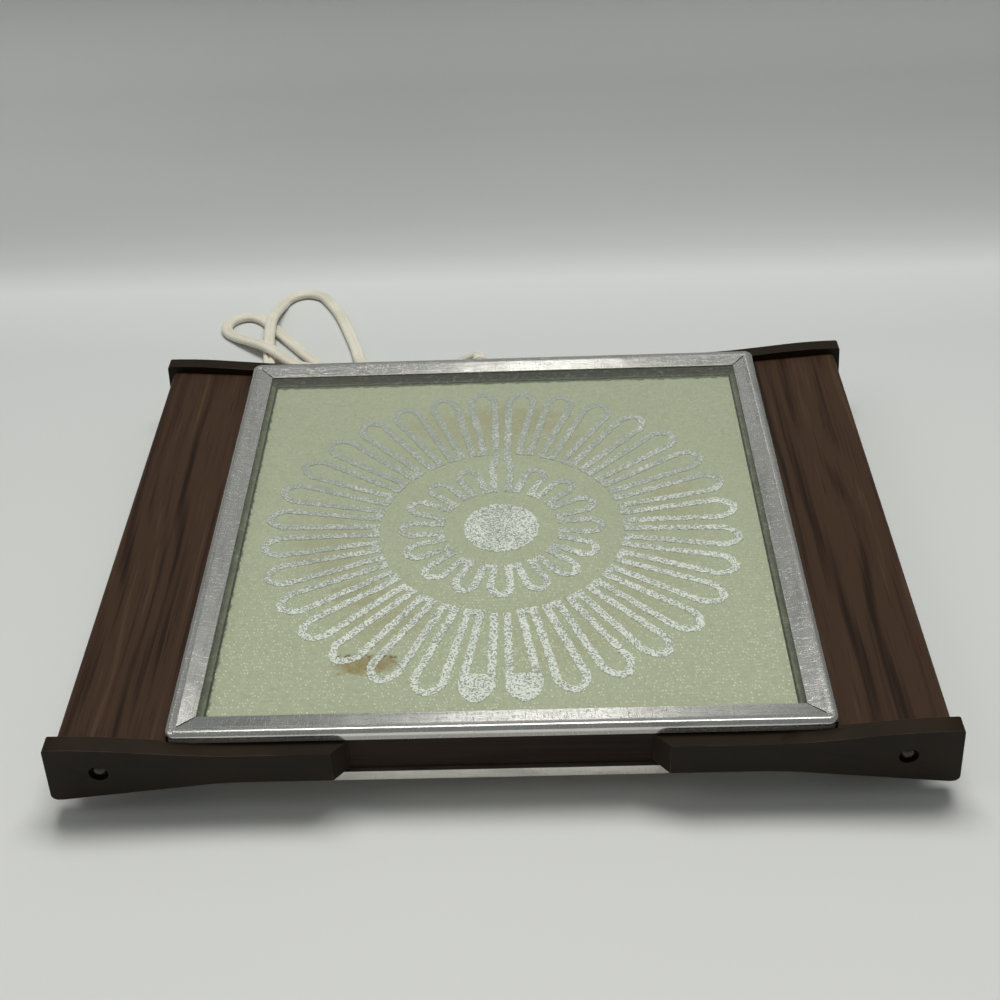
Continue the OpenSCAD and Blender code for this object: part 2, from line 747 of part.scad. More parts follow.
function bracket_outline() =
    let (flare = bracket_out - flare_start, n = 12,
         top_end = bracket_out - end_lean - bracket_top_r,
         foot_end = bracket_out - bracket_foot_r)
    concat(
        [[bracket_in, waist_foot], [bracket_in, waist_top]],
        [for (i = [0 : n]) let (u = i / n)
            [flare_start + (top_end - flare_start) * u,
             waist_top + (end_top - waist_top) * top_rise(u)]],
        arc([top_end, end_top - bracket_top_r], bracket_top_r, 60, 0, 2),
        arc([foot_end, end_foot + bracket_foot_r], bracket_foot_r, 0, -84, 4),
        [for (i = [n : -1 : 0]) let (u = i / n)
            [flare_start + (foot_end - 2 - flare_start) * u,
             waist_foot - (waist_foot - end_foot) * foot_fall(u)]]);

module bracket() {
    front = body_half + bracket_t;
    difference() {
        translate([0, front, 0]) rotate([90, 0, 0])
            linear_extrude(bracket_t) polygon(bracket_outline());
        // the slant at the inner end
        translate([0, 0, end_foot - 1]) linear_extrude(bracket_end_h + 2)
            polygon([[bracket_in - 1, body_half + end_land], [bracket_in, body_half + end_land],
                     [bracket_in + bracket_slant - end_land, front],
                     [bracket_in + bracket_slant - end_land, front + 1],
                     [bracket_in - 1, front + 1]]);
        // room for the frame's skirt and corner
        translate([bracket_in - 1, body_half - 1, skirt_z - corner_relief])
            cube([frame_side / 2 + corner_relief - bracket_in + 1,
                  frame_side / 2 + corner_relief - body_half + 1, bracket_end_h]);
        rod_y(shank_r + hole_gap, screw_x, screw_z, body_half - 1, front + 1);
        rod_y(screw_head_r + head_gap, screw_x, screw_z, front - counterbore, front + 1);
        rod_y(shank_r + hole_gap, apron_screw_x, apron_screw_z, body_half - 1,
              body_half + apron_screw_len - sheet_t + 0.5);
    }
}

module bracket_front_left() {
    color("#2a201b") at_corner(false, false) bracket();
}

module bracket_front_right() {
    color("#2a201b") at_corner(true, false) bracket();
}

module bracket_back_left() {
    color("#2a201b") at_corner(false, true) bracket();
}

module bracket_back_right() {
    color("#2a201b") at_corner(true, true) bracket();
}

// A domed head on a plain shank, through the bracket and the wing's end flange
module bracket_screw() {
    seat = body_half + bracket_t - counterbore;
    dome_r = (screw_head_r * screw_head_r + domed_h * domed_h) / (2 * domed_h);
    rod_y(shank_r, screw_x, screw_z, wall_in - shank_tail, seat + eps);
    translate([screw_x, seat, screw_z]) rotate([-90, 0, 0])
        intersection() {
            cylinder(r = screw_head_r, h = domed_h, $fn = round_fn);
            translate([0, 0, domed_h - dome_r]) sphere(r = dome_r, $fn = round_fn);
        }
}

module bracket_screws() {
    color("#1c1715") at_all_corners() bracket_screw();
}

module screw_nuts() {
    color("gray") at_all_corners()
        difference() {
            rod_y(push_nut_r, screw_x, screw_z, wall_in - push_nut_t, wall_in);
            rod_y(shank_r + eps, screw_x, screw_z, wall_in - push_nut_t - 1, wall_in + 1);
        }
}

module apron_screws() {
    color("gray") at_all_corners() {
        rod_y(shank_r, apron_screw_x, apron_screw_z, wall_in - eps, wall_in + apron_screw_len);
        rod_y(2 * shank_r, apron_screw_x, apron_screw_z, wall_in - 2, wall_in);
    }
}

// ================= Feet =================

module foot() {
    color("#26241f") translate([foot_x, foot_y, 0])
        rotate_extrude($fn = round_fn)
            polygon([[foot_bore_r, 0], [foot_tip_r - 0.8, 0], [foot_tip_r, 0.8], [foot_r, foot_h],
                     [shank_r + hole_gap, foot_h], [shank_r + hole_gap, foot_h - foot_web],
                     [foot_bore_r, foot_h - foot_web]]);
}

module foot_front_left() {
    at_corner(false, false) foot();
}

module foot_front_right() {
    at_corner(true, false) foot();
}

module foot_back_left() {
    at_corner(false, true) foot();
}

module foot_back_right() {
    at_corner(true, true) foot();
}

module foot_screws() {
    seat = foot_h - foot_web;
    color("silver") at_all_corners() {
        rod(shank_r, foot_x, foot_y, seat - eps, floor_z + sheet_t + nut_t + 0.6);
        rod(foot_bore_r - 0.5, foot_x, foot_y, seat - foot_screw_head_t, seat);
    }
}

module foot_nuts() {
    color("silver") at_all_corners()
        translate([foot_x, foot_y, floor_z + sheet_t]) difference() {
            cylinder(r = nut_r, h = nut_t, $fn = 6);
            translate([0, 0, -1]) cylinder(r = shank_r + eps, h = nut_t + 2, $fn = round_fn);
        }
}

// ================= Wiring =================

module terminal(side) {
    color("goldenrod") {
        rod(stud_head_r, side * stud_x, stud_y, film_z - stud_head_t, film_z);
        rod(stud_r, side * stud_x, stud_y, lead_z - lead_r, film_z - stud_head_t + eps);
    }
}

module terminal_left() {
    terminal(-1);
}

module terminal_right() {
    terminal(1);
}

// A lead: from its stud back under the reflector, aside, out at the notch and to its crimp
module lead(side, y) {
    out_x = lead_x + side * lead_gap;
    turn_y = stud_y + 50 - side * 10;
    color("ivory") swept_cord(eased([
        [side * stud_x, stud_y + stud_r, lead_z], [side * stud_x, turn_y, lead_z],
        [out_x, turn_y, lead_z], [out_x, y - 4, crimp_z], [out_x - 4, y, crimp_z],
        [crimp_x + crimp_len, y, crimp_z]], 2.5), 8, 2 * lead_r, 2 * lead_r);
}

module lead_left() {
    lead(-1, crimp_y - conductor_pitch / 2);
}

module lead_right() {
    lead(1, crimp_y + conductor_pitch / 2);
}

module wire_crimps() {
    color("goldenrod") for (side = [-1, 1])
        rod_x(crimp_r - 0.1, crimp_y + side * conductor_pitch / 2, crimp_z,
              crimp_x, crimp_x + crimp_len);
}

module inner_cord() {
    inside_y = wall_in - relief_in;
    color("ivory") swept_cord(smooth([
        [-cord_exit_x, inside_y, cord_exit_z], [-cord_exit_x, inside_y - 3, cord_exit_z - 0.4],
        [-cord_exit_x + 2, crimp_y + 3, cord_exit_z - 3],
        [-cord_exit_x + 7, crimp_y + 0.4, crimp_z + 1.5],
        [crimp_x - 3, crimp_y, crimp_z], [crimp_x, crimp_y, crimp_z]], 2), 8);
}

// A flange inside and outside the wall, a neck through it and a tapered sleeve on the cord
module strain_relief() {
    y = body_half;
    color("ivory") difference() {
        union() {
            rod_y(relief_inner_r, -cord_exit_x, cord_exit_z, wall_in - relief_in, wall_in);
            rod_y(relief_neck_r, -cord_exit_x, cord_exit_z, wall_in - 1, y + 1);
            rod_y(relief_flange_r, -cord_exit_x, cord_exit_z, y, y + relief_flange_t);
            translate([-cord_exit_x, y + relief_flange_t - eps, cord_exit_z]) rotate([-90, 0, 0])
                cylinder(r1 = relief_r, r2 = relief_tip_r, h = relief_len + eps, $fn = round_fn);
        }
        for (groove = [1 : 4])
            translate([-cord_exit_x, y + relief_flange_t + groove * relief_len / 5, cord_exit_z])
                rotate([-90, 0, 0]) difference() {
                    cylinder(r = relief_r + 1, h = 1.6, $fn = round_fn);
                    translate([0, 0, -1]) cylinder(r = relief_tip_r - 0.6, h = 4, $fn = round_fn);
                }
    }
}

// ================= Cord outside the tray =================

// How far the spiral stands from the hank's middle line after n turns
function hank_offset(n) = hank_fold_r + hank_step * (
    n < hank_in_turns ? hank_in_turns - n :
    n < hank_in_turns + run_share ? 0 : n - hank_in_turns - run_share);
function hank_level(n) = lie_z + hank_layer
    * min(1, max(0, (n - hank_in_turns) / run_share));
function waist_bump(x) = abs(x) > waist_reach ? 0 : (1 + cos(180 * x / waist_reach)) / 2;

// A point of the hank after n turns: far run, right fold, near run, left fold
function hank_point(n) =
    let (u = n - floor(n), r = hank_offset(n), half = hank_run / 2,
         q = floor(4 * u), s = 4 * u - q, a = 180 * s,
         x = q == 0 ? (2 * s - 1) * half : q == 1 ? half + r * sin(a)
           : q == 2 ? (1 - 2 * s) * half : -half - r * sin(a),
         y = q == 0 ? r - waist_pull * waist_bump(x) : q == 1 ? r * cos(a)
           : q == 2 ? -r + waist_pull * waist_bump(x) : -r * cos(a))
    [hank_x + x, hank_y + y,
     hank_level(n) + (q % 2 == 0 ? (tie_t + 0.1) * waist_bump(x) : 0)];
hank_path = [for (i = [0 : hank_turns * hank_steps]) hank_point(i / hank_steps)];

// Least gap between two loops, measured between the oval sections on fine points
function oval_gap(a, b) =
    let (across = norm([a[0] - b[0], a[1] - b[1]]) / cord_w, up = abs(a[2] - b[2]) / cord_t)
    (sqrt(across * across + up * up) - 1) * cord_t;
fine = 60;
echo(hank_least_gap = min([
    for (i = [0 : hank_turns * fine - fine / 2], j = [i + fine / 2 : hank_turns * fine])
        oval_gap(hank_point(i / fine), hank_point(j / fine))]));

module power_cord() {
    color("ivory") swept_cord(concat(
        smooth(free_route, 2),
        [[hank_path[0][0] - cord_w, hank_path[0][1], lie_z], hank_path[0]]), 8);
}

module cord_hank() {
    color("ivory") swept_cord(hank_path, 6);
}

module plug_lead() {
    color("ivory") swept_cord(smooth(tail_route, 2), 8);
}

// A flat strap round the hank's waist
module cord_tie() {
    gap = 0.5;
    low = hank_y - hank_offset(0.5 + run_share / 2) + waist_pull - cord_w / 2 - gap;
    high = hank_y + hank_offset(run_share / 2) - waist_pull + cord_w / 2 + gap;
    inside_h = hank_layer + cord_t + gap;
    color("saddlebrown") translate([hank_x - tie_w / 2, 0, 0]) difference() {
        translate([0, low - tie_t, 0]) cube([tie_w, high - low + 2 * tie_t, inside_h + 2 * tie_t]);
        translate([-1, low, tie_t]) cube([tie_w + 2, high - low, inside_h]);
    }
}

module plug_body() {
    nose = plug_len * 0.3;
    color("ivory") translate([plug_x, plug_y, plug_z]) {
        rotate([0, 90, 0]) cylinder(r1 = cord_w / 2 + 0.4, r2 = plug_t / 2, h = nose, $fn = round_fn);
        translate([nose - eps, 0, 0]) rotate([90, 0, 90]) linear_extrude(plug_len - nose) {
            square([plug_w - plug_t, plug_t], center = true);
            for (side = [-1, 1]) translate([side * (plug_w - plug_t) / 2, 0])
                circle(r = plug_t / 2, $fn = round_fn);
        }
    }
}

module plug_blades() {
    color("goldenrod") for (side = [-1, 1])
        translate([plug_x + plug_len, plug_y + side * blade_pitch / 2 - blade_t / 2,
                   plug_z - blade_h / 2])
            difference() {
                cube([blade_len, blade_t, blade_h]);
                translate([blade_len - 4, -1, blade_h / 2]) rotate([-90, 0, 0])
                    cylinder(r = 1.5, h = blade_t + 2, $fn = round_fn);
            }
}

// ================= Nodes =================

top_frame();
glass_plate();
heating_track();
centre_disc();
glass_gasket();
glass_ledge();
backing_board();
insulation_blanket();
reflector_sheet();
front_apron();
back_apron();
side_wall_left();
side_wall_right();
bottom_pan();
wing_left();
wing_right();
bracket_front_left();
bracket_front_right();
bracket_back_left();
bracket_back_right();
bracket_screws();
screw_nuts();
apron_screws();
wing_rivets();
foot_front_left();
foot_front_right();
foot_back_left();
foot_back_right();
foot_screws();
foot_nuts();
terminal_left();
terminal_right();
lead_left();
lead_right();
wire_crimps();
inner_cord();
strain_relief();
power_cord();
cord_hank();
cord_tie();
plug_lead();
plug_body();
plug_blades();
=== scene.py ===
"""Electric food warmer tray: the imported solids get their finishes, and the pieces that
need a softer or finer shape are modelled here. Metres; X right, Y to the back, Z up."""

from __future__ import annotations

import logging
import math
import random
from collections.abc import Sequence
from dataclasses import dataclass
from enum import Enum

import bmesh
import bpy
from mathutils import Matrix, Vector

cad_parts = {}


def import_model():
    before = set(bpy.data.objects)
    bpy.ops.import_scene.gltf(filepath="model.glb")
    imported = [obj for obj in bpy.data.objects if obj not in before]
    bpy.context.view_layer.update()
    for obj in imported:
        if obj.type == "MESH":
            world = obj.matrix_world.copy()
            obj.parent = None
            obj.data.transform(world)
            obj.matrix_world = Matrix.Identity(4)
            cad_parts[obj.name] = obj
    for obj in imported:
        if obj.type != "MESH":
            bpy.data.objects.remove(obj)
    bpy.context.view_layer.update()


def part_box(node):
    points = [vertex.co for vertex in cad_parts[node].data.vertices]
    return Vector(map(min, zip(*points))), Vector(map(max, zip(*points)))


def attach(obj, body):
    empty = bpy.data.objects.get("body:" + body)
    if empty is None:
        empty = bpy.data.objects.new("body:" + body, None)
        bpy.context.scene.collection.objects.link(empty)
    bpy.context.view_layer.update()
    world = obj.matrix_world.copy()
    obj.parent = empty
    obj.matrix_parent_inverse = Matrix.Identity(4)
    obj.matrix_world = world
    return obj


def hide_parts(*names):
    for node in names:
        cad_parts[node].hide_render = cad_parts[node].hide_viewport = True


LOG = logging.getLogger("food_warmer")
MM = 0.001
ROOT = "root"
Point = tuple[float, float, float]

CORNERS = ("front_left", "front_right", "back_left", "back_right")
# Points closer than this are one point, in metres: in the CAD's meshes and in new ones.
WELD_CAD = 2e-6
WELD_OWN = 1e-6
# CAD faces that meet at less than this, in degrees, are one face.
FLAT_DEG = 0.6


# ---------------------------------------------------------------- shader maths


class Socket:
    """One output of a node; arithmetic on it adds Math nodes."""

    def __init__(self, graph: Graph, out: bpy.types.NodeSocket) -> None:
        """Keep the output and the graph that it belongs to."""
        self.graph = graph
        self.out = out

    def math(self, operation: str, *values: Socket | float) -> Socket:
        """Add one Math node.

        Args:
            operation: The Math node's operation.
            values: Its other inputs.

        Returns:
            The node's output.
        """
        inputs = dict(enumerate((self, *values)))
        return self.graph.add("ShaderNodeMath", inputs, operation=operation)

    def __add__(self, other: Socket | float) -> Socket:
        """Sum."""
        return self.math("ADD", other)

    def __radd__(self, other: float) -> Socket:
        """Reflected sum."""
        return self.math("ADD", other)

    def __sub__(self, other: Socket | float) -> Socket:
        """Difference."""
        return self.math("SUBTRACT", other)

    def __rsub__(self, other: float) -> Socket:
        """Reflected difference."""
        return self.graph.add("ShaderNodeMath", {0: other, 1: self}, operation="SUBTRACT")

    def __mul__(self, other: Socket | float) -> Socket:
        """Product."""
        return self.math("MULTIPLY", other)

    def __truediv__(self, other: Socket | float) -> Socket:
        """Quotient."""
        return self.math("DIVIDE", other)

    def __pow__(self, other: Socket | float) -> Socket:
        """Power."""
        return self.math("POWER", other)

    def __gt__(self, other: Socket | float) -> Socket:
        """One where this is the larger."""
        return self.math("GREATER_THAN", other)

    def __abs__(self) -> Socket:
        """Size without its sign."""
        return self.math("ABSOLUTE")

    def least(self, other: Socket | float) -> Socket:
        """The smaller of the two."""
        return self.math("MINIMUM", other)

    def most(self, other: Socket | float) -> Socket:
        """The larger of the two."""
        return self.math("MAXIMUM", other)

    def between(self, low: float, high: float) -> Socket:
        """Rise smoothly from 0 at low to 1 at high.

        Args:
            low: Where the rise starts.
            high: Where it ends.

        Returns:
            The eased value.
        """
        inputs = {"Value": self, "From Min": low, "From Max": high}
        return self.graph.add(
            "ShaderNodeMapRange", inputs, interpolation_type="SMOOTHSTEP", clamp=True
        )


class Graph:
    """A material's node tree."""

    def __init__(self, name: str) -> None:
        """Start an empty tree for a new material."""
        self.material = bpy.data.materials.new(name)
        self.material.use_nodes = True
        self.tree = self.material.node_tree
        self.tree.nodes.clear()
        self.output = self.tree.nodes.new("ShaderNodeOutputMaterial")

    def node(self, kind: str, inputs: dict, **settings: object) -> bpy.types.Node:
        """Add any node.

        Args:
            kind: The node's type.
            inputs: Values or sockets for its inputs, by name or number.
            settings: Its own settings, set first.

        Returns:
            The node.
        """
        made = self.tree.nodes.new(kind)
        for key, value in settings.items():
            setattr(made, key, value)
        for key, value in inputs.items():
            target = made.inputs[key]
            if isinstance(value, Socket):
                self.tree.links.new(value.out, target)
            elif isinstance(value, tuple) and target.type == "RGBA":
                target.default_value = (*value, 1.0)
            else:
                target.default_value = value
        return made

    def add(self, kind: str, inputs: dict, out: int | str = 0, **settings: object) -> Socket:
        """Add any node and read one of its outputs.

        Args:
            kind: The node's type.
            inputs: Values or sockets for its inputs, by name or number.
            out: The output, by name or number.
            settings: The node's own settings, set first.

        Returns:
            The output.
        """
        return Socket(self, self.node(kind, inputs, **settings).outputs[out])

    def coords(self) -> Socket:
        """Places on the object, in metres."""
        return self.add("ShaderNodeTexCoord", {}, "Object")

    def backfacing(self) -> Socket:
        """One where a face is seen from its back."""
        return self.add("ShaderNodeNewGeometry", {}, "Backfacing")

    def axis(self, vector: Socket) -> tuple[Socket, Socket, Socket]:
        """A vector's three parts."""
        made = self.node("ShaderNodeSeparateXYZ", {0: vector})
        return tuple(Socket(self, out) for out in made.outputs)

    def vector(self, x: Socket | float, y: Socket | float, z: Socket | float) -> Socket:
        """A vector from its three parts."""
        return self.add("ShaderNodeCombineXYZ", {0: x, 1: y, 2: z})

    def stretched(self, vector: Socket, scale: Point, turn: Point = (0, 0, 0)) -> Socket:
        """Scale and turn coordinates.

        Args:
            vector: The coordinates.
            scale: Factor along each axis.
            turn: Angles in radians.

        Returns:
            The new coordinates.
        """
        return self.add("ShaderNodeMapping", {"Vector": vector, "Scale": scale, "Rotation": turn})

    def noise(
        self, vector: Socket, scale: float, detail: float = 3.0, rough: float = 0.5
    ) -> Socket:
        """Soft noise.

        Args:
            vector: Where to read it.
            scale: Its scale.
            detail: Octaves.
            rough: How much the small octaves count.

        Returns:
            A value about 0.5.
        """
        inputs = {"Vector": vector, "Scale": scale, "Detail": detail, "Roughness": rough}
        return self.add("ShaderNodeTexNoise", inputs)

    def cells(
        self, vector: Socket, scale: float, feature: str = "F1", out: int = 0, chaos: float = 1.0
    ) -> Socket:
        """Cell noise.

        Args:
            vector: Where to read it.
            scale: Cells a metre.
            feature: What is measured in a cell.
            out: 0 for distance, 1 for the cell's own colour.
            chaos: 1 for scattered cells, 0 for a square grid.

        Returns:
            The distance or the colour.
        """
        inputs = {"Vector": vector, "Scale": scale, "Randomness": chaos}
        return self.add("ShaderNodeTexVoronoi", inputs, out, feature=feature)

    def ramp(self, factor: Socket, *stops: tuple[float, Point]) -> Socket:
        """A colour from a value, by a ramp of places and colours."""
        made = self.node("ShaderNodeValToRGB", {0: factor})
        ramp = made.color_ramp
        while len(ramp.elements) < len(stops):
            ramp.elements.new(1.0)
        for element, (place, colour) in zip(ramp.elements, stops):
            element.position = place
            element.color = (*colour, 1.0)
        return Socket(self, made.outputs[0])

    def blend(
        self, factor: Socket | float, low: Socket | Point, high: Socket | Point
    ) -> Socket:
        """Mix two colours.

        Args:
            factor: 0 gives the first, 1 the second.
            low: First colour.
            high: Second colour.

        Returns:
            The colour.
        """
        return self.add("ShaderNodeMix", {0: factor, 6: low, 7: high}, 2, data_type="RGBA")

    def bump(
        self, height: Socket, distance: float, strength: float = 1.0,
        under: Socket | None = None,
    ) -> Socket:
        """A bumped normal.

        Args:
            height: 0 to 1.
            distance: Height of 1, in metres.
            strength: How much it counts.
            under: A normal to add to.

        Returns:
            The normal.
        """
        inputs: dict = {"Height": height, "Distance": distance, "Strength": strength}
        if under is not None:
            inputs["Normal"] = under
        return self.add("ShaderNodeBump", inputs)

    def shader(self, colour: Socket | Point, **more: Socket | float | Point) -> Socket:
        """A Principled shader.

        Args:
            colour: Its base colour.
            more: Its other inputs, with underscores for spaces.

        Returns:
            The shader.
        """
        inputs = {"Base Color": colour}
        inputs.update({k.replace("_", " "): v for k, v in more.items()})
        return self.add("ShaderNodeBsdfPrincipled", inputs)

    def finish(self, surface: Socket) -> bpy.types.Material:
        """Wire the surface to the output and give the material."""
        self.tree.links.new(surface.out, self.output.inputs["Surface"])
        return self.material


# ---------------------------------------------------------------- finishes


class Grain(Enum):
    """The way that woodgrain or brushing runs."""

    ALONG_X = "x"
    ALONG_Y = "y"

    def stretch(self, across: float, along: float) -> Point:
        """Scale factors for a pattern that runs this way.

        Args:
            across: Features a metre across the grain.
            along: Features a metre along it.

        Returns:
            Factors for X, Y and Z.
        """
        return (along, across, across) if self is Grain.ALONG_X else (across, along, across)


@dataclass(frozen=True)
class Walnut:
    """Printed walnut woodgrain on sheet metal, satin.

    `rings` is the number of growth rings a metre and `waver` how far they wander.
    """

    name: str = "walnut_woodgrain"
    grain: Grain = Grain.ALONG_Y
    dark: Point = (0.0165, 0.0090, 0.0056)
    middle: Point = (0.049, 0.0270, 0.0155)
    light: Point = (0.092, 0.054, 0.033)
    offset: float = 0.0
    rings: float = 105.0
    waver: float = 5.5
    shine: float = 0.10

    def make(self) -> bpy.types.Material:
        """Build the material."""
        g = Graph(self.name)
        shift = (self.offset, 0.7 * self.offset, 0.0)
        here = g.add("ShaderNodeMapping", {"Vector": g.coords(), "Location": shift})
        drift = g.noise(g.stretched(here, self.grain.stretch(22, 3.5)), 1.0, 2.0)
        x, y, _ = g.axis(here)
        across = x if self.grain is Grain.ALONG_Y else y
        turns = across * self.rings + drift * self.waver
        rings = (turns * math.tau).math("SINE") * 0.5 + 0.5
        broad = g.noise(g.stretched(here, self.grain.stretch(72, 2.6)), 1.0, 3.0, 0.6)
        streak = g.noise(g.stretched(here, self.grain.stretch(540, 7)), 1.0, 4.0, 0.65)
        pores = g.noise(g.stretched(here, self.grain.stretch(1700, 34)), 1.0, 2.0, 0.5)
        tone = broad * 0.55 + streak * 0.5 + rings * 0.16 - 0.12
        colour = g.ramp(
            tone, (0.30, self.dark), (0.47, self.middle), (0.58, self.middle), (0.76, self.light)
        )
        pore = pores.between(0.60, 0.72)
        colour = g.blend(pore * 0.55, colour, self.dark)
        return g.finish(
            g.shader(
                colour,
                Roughness=0.40 + streak * 0.12,
                Normal=g.bump(streak * 0.5 + pore * -0.6, 0.00010, 0.4),
                Specular_IOR_Level=self.shine,
            )
        )


@dataclass(frozen=True)
class BrownMoulding:
    """Dark brown moulded plastic with a fine mould texture, paler with more wear."""

    name: str = "brown_moulding"
    base: Point = (0.0150, 0.0098, 0.0052)
    pale: Point = (0.038, 0.025, 0.0145)
    wear: float = 0.0

    def make(self) -> bpy.types.Material:
        """Build the material."""
        g = Graph(self.name)
        here = g.coords()
        cloud = g.noise(here, 38.0, 3.0)
        fine = g.noise(here, 1900.0, 2.0)
        speck = g.cells(here, 420.0).between(0.10, 0.02)
        worn = cloud.between(0.30, 0.62) * self.wear
        tone = (cloud.between(0.35, 0.75) * 0.30 + worn).least(1.0)
        colour = g.blend(tone, self.base, self.pale)
        colour = g.blend(speck * 0.25, colour, self.pale)
        return g.finish(
            g.shader(
                colour,
                Roughness=0.36 + cloud * 0.14,
                Normal=g.bump(fine, 0.00006, 0.6),
                Specular_IOR_Level=0.13,
            )
        )


@dataclass(frozen=True)
class BentAluminium:
    """Bright aluminium strip with drawn lines, shallow dents, scratches and dirt.

    `soiled` is the strength of the dark spots and `skirt_shade` that of the painted shade below
    `shade_top`, a dull, less metallic tone that fades in over the distance down to `shade_full`
    (metres).
    """

    name: str = "frame_aluminium"
    base: Point = (0.82, 0.81, 0.77)
    cloudy: Point = (0.60, 0.58, 0.54)
    dull: Point = (0.36, 0.35, 0.32)
    scratched: Point = (0.34, 0.33, 0.31)
    dirt: Point = (0.16, 0.14, 0.11)
    rough: float = 0.13
    soiled: float = 0.5
    skirt_shade: float = 0.0
    shade_top: float = 0.0398
    shade_full: float = 0.0384

    def make(self) -> bpy.types.Material:
        """Build the material."""
        g = Graph(self.name)
        here = g.coords()
        x, y, z = g.axis(here)
        lengthways = abs(y) > abs(x)
        along_x = g.noise(g.stretched(here, (14, 2600, 900)), 1.0, 2.0)
        along_y = g.noise(g.stretched(here, (2600, 14, 900)), 1.0, 2.0)
        drawn = along_x * lengthways + along_y * (1.0 - lengthways)
        cloud = g.noise(here, 55.0, 4.0, 0.6)
        dents = g.noise(here, 34.0, 2.0)
        scratch_a = abs(g.noise(g.stretched(here, (90, 900, 90), (0, 0, 0.5)), 1.0, 2.0) - 0.5)
        scratch_b = abs(g.noise(g.stretched(here, (700, 60, 90), (0, 0, 0.9)), 1.0, 2.0) - 0.5)
        scratch = scratch_a.least(scratch_b).between(0.010, 0.0)
        spots = g.cells(here, 150.0).between(0.09, 0.03) * cloud.between(0.56, 0.66)
        smudge_x = g.noise(g.stretched(here, (22, 240, 90)), 1.0, 4.0, 0.65)
        smudge_y = g.noise(g.stretched(here, (240, 22, 90)), 1.0, 4.0, 0.65)
        smudge = (smudge_x * lengthways + smudge_y * (1.0 - lengthways)).between(0.50, 0.72)
        colour = g.blend(cloud.between(0.42, 0.80) * 0.30, self.base, self.cloudy)
        colour = g.blend(smudge * 0.45, colour, self.dull)
        colour = g.blend(scratch * 0.25, colour, self.scratched)
        # Painted shade: below the top of the strip the skirt turns dull and less metallic.
        skirt_shade_mask = z.between(self.shade_top, self.shade_full) * self.skirt_shade
        colour = g.blend(skirt_shade_mask, colour, self.dull)
        colour = g.blend(spots * self.soiled, colour, self.dirt)
        return g.finish(
            g.shader(
                colour,
                Metallic=1.0 - spots * 0.7 - skirt_shade_mask * 0.6,
                Roughness=self.rough + drawn * 0.06 + cloud * 0.06 + scratch * 0.12,
                Normal=g.bump(
                    drawn * 0.3 + scratch * -0.4, 0.00004, 0.6,
                    g.bump(dents, 0.0011, 0.35),
                ),
            )
        )


@dataclass(frozen=True)
class PebbledGlass:
    """Clear glass with a pebbled face: see-through, with small bright facets."""

    name: str = "pebbled_glass"
    haze: Point = (0.62, 0.63, 0.53)
    tint: Point = (0.96, 0.96, 0.925)
    pebbles: float = 760.0
    bend: float = 0.0016
    ior: float = 1.5

    def make(self) -> bpy.types.Material:
        """Build the material."""
        g = Graph(self.name)
        here = g.coords()
        warp = g.noise(here, 300.0, 1.0)
        bent = g.add(
            "ShaderNodeVectorMath",
            {0: g.vector(warp, warp, 0.0), 1: (self.bend, self.bend, 0.0), 2: here},
            operation="MULTIPLY_ADD",
        )
        pebble = g.cells(bent, self.pebbles, "SMOOTH_F1")
        fine = g.noise(here, 1300.0, 1.0)
        height = 1.0 - pebble * 1.3 + fine * 0.25
        normal = g.bump(height, 0.00032, 0.6)
        gloss = g.add("ShaderNodeFresnel", {"IOR": self.ior, "Normal": normal})
        clear = g.add("ShaderNodeBsdfTransparent", {"Color": self.tint})
        face = g.shader(self.haze, Roughness=0.10, Normal=normal)
        veil = gloss * 0.8 + 0.06 + pebble.between(0.45, 0.75) * 0.10
        inside = g.backfacing()
        veil = veil.least(1.0) * (1.0 - inside)
        return g.finish(g.add("ShaderNodeMixShader", {0: veil, 1: clear, 2: face}))


@dataclass(frozen=True)
class SilverFilm:
    """Silvery printed film: pale grains on a dull ground, fewer and duller at the back and left.
    The pale grains are painted glints on the print, and their thinning to the back and left is
    painted shade.

    `cover` is the share of grains that a fully lit place adds, `bare` the share that a
    dark place lacks, and `soft` the width of the step between grain and ground.
    """

    name: str = "silver_film"
    grain: Point = (0.92, 0.965, 1.0)
    dull: Point = (0.60, 0.60, 0.68)
    gap: Point = (0.345, 0.395, 0.370)
    glint_grains: float = 1650.0
    cover: float = 0.53
    bare: float = 0.87
    soft: float = 0.09
    extra_light: float = 0.0

    def make(self) -> bpy.types.Material:
        """Build the material."""
        g = Graph(self.name)
        here = g.coords()
        x, y, _ = g.axis(here)
        cloud = g.noise(here, 42.0, 2.0)
        tone, other, _ = g.axis(g.cells(here, self.glint_grains, "F1", 1))
        # Painted light: the grains grow more and brighter towards the front and right and fade
        # towards the back and left; the disc gets a further share.
        drift = x * 0.9 - y * 3.5 + (cloud - 0.5) * 0.9
        lit = (drift + 0.55 + self.extra_light).between(0.05, 0.95)
        keep = (tone + lit * self.cover - self.bare).between(-self.soft, self.soft)
        colour = g.blend(keep, self.gap, g.blend(lit, self.dull, self.grain))
        return g.finish(
            g.shader(
                colour,
                Metallic=keep * 0.05,
                Roughness=0.40 + other * 0.2,
                Normal=g.bump(keep, 0.00008, 0.4),
            )
        )


@dataclass(frozen=True)
class Stain:
    """A brown heat stain on the board, as an oval."""

    x: float
    y: float
    half_x: float
    half_y: float
    strength: float
    slant: float = 0.0


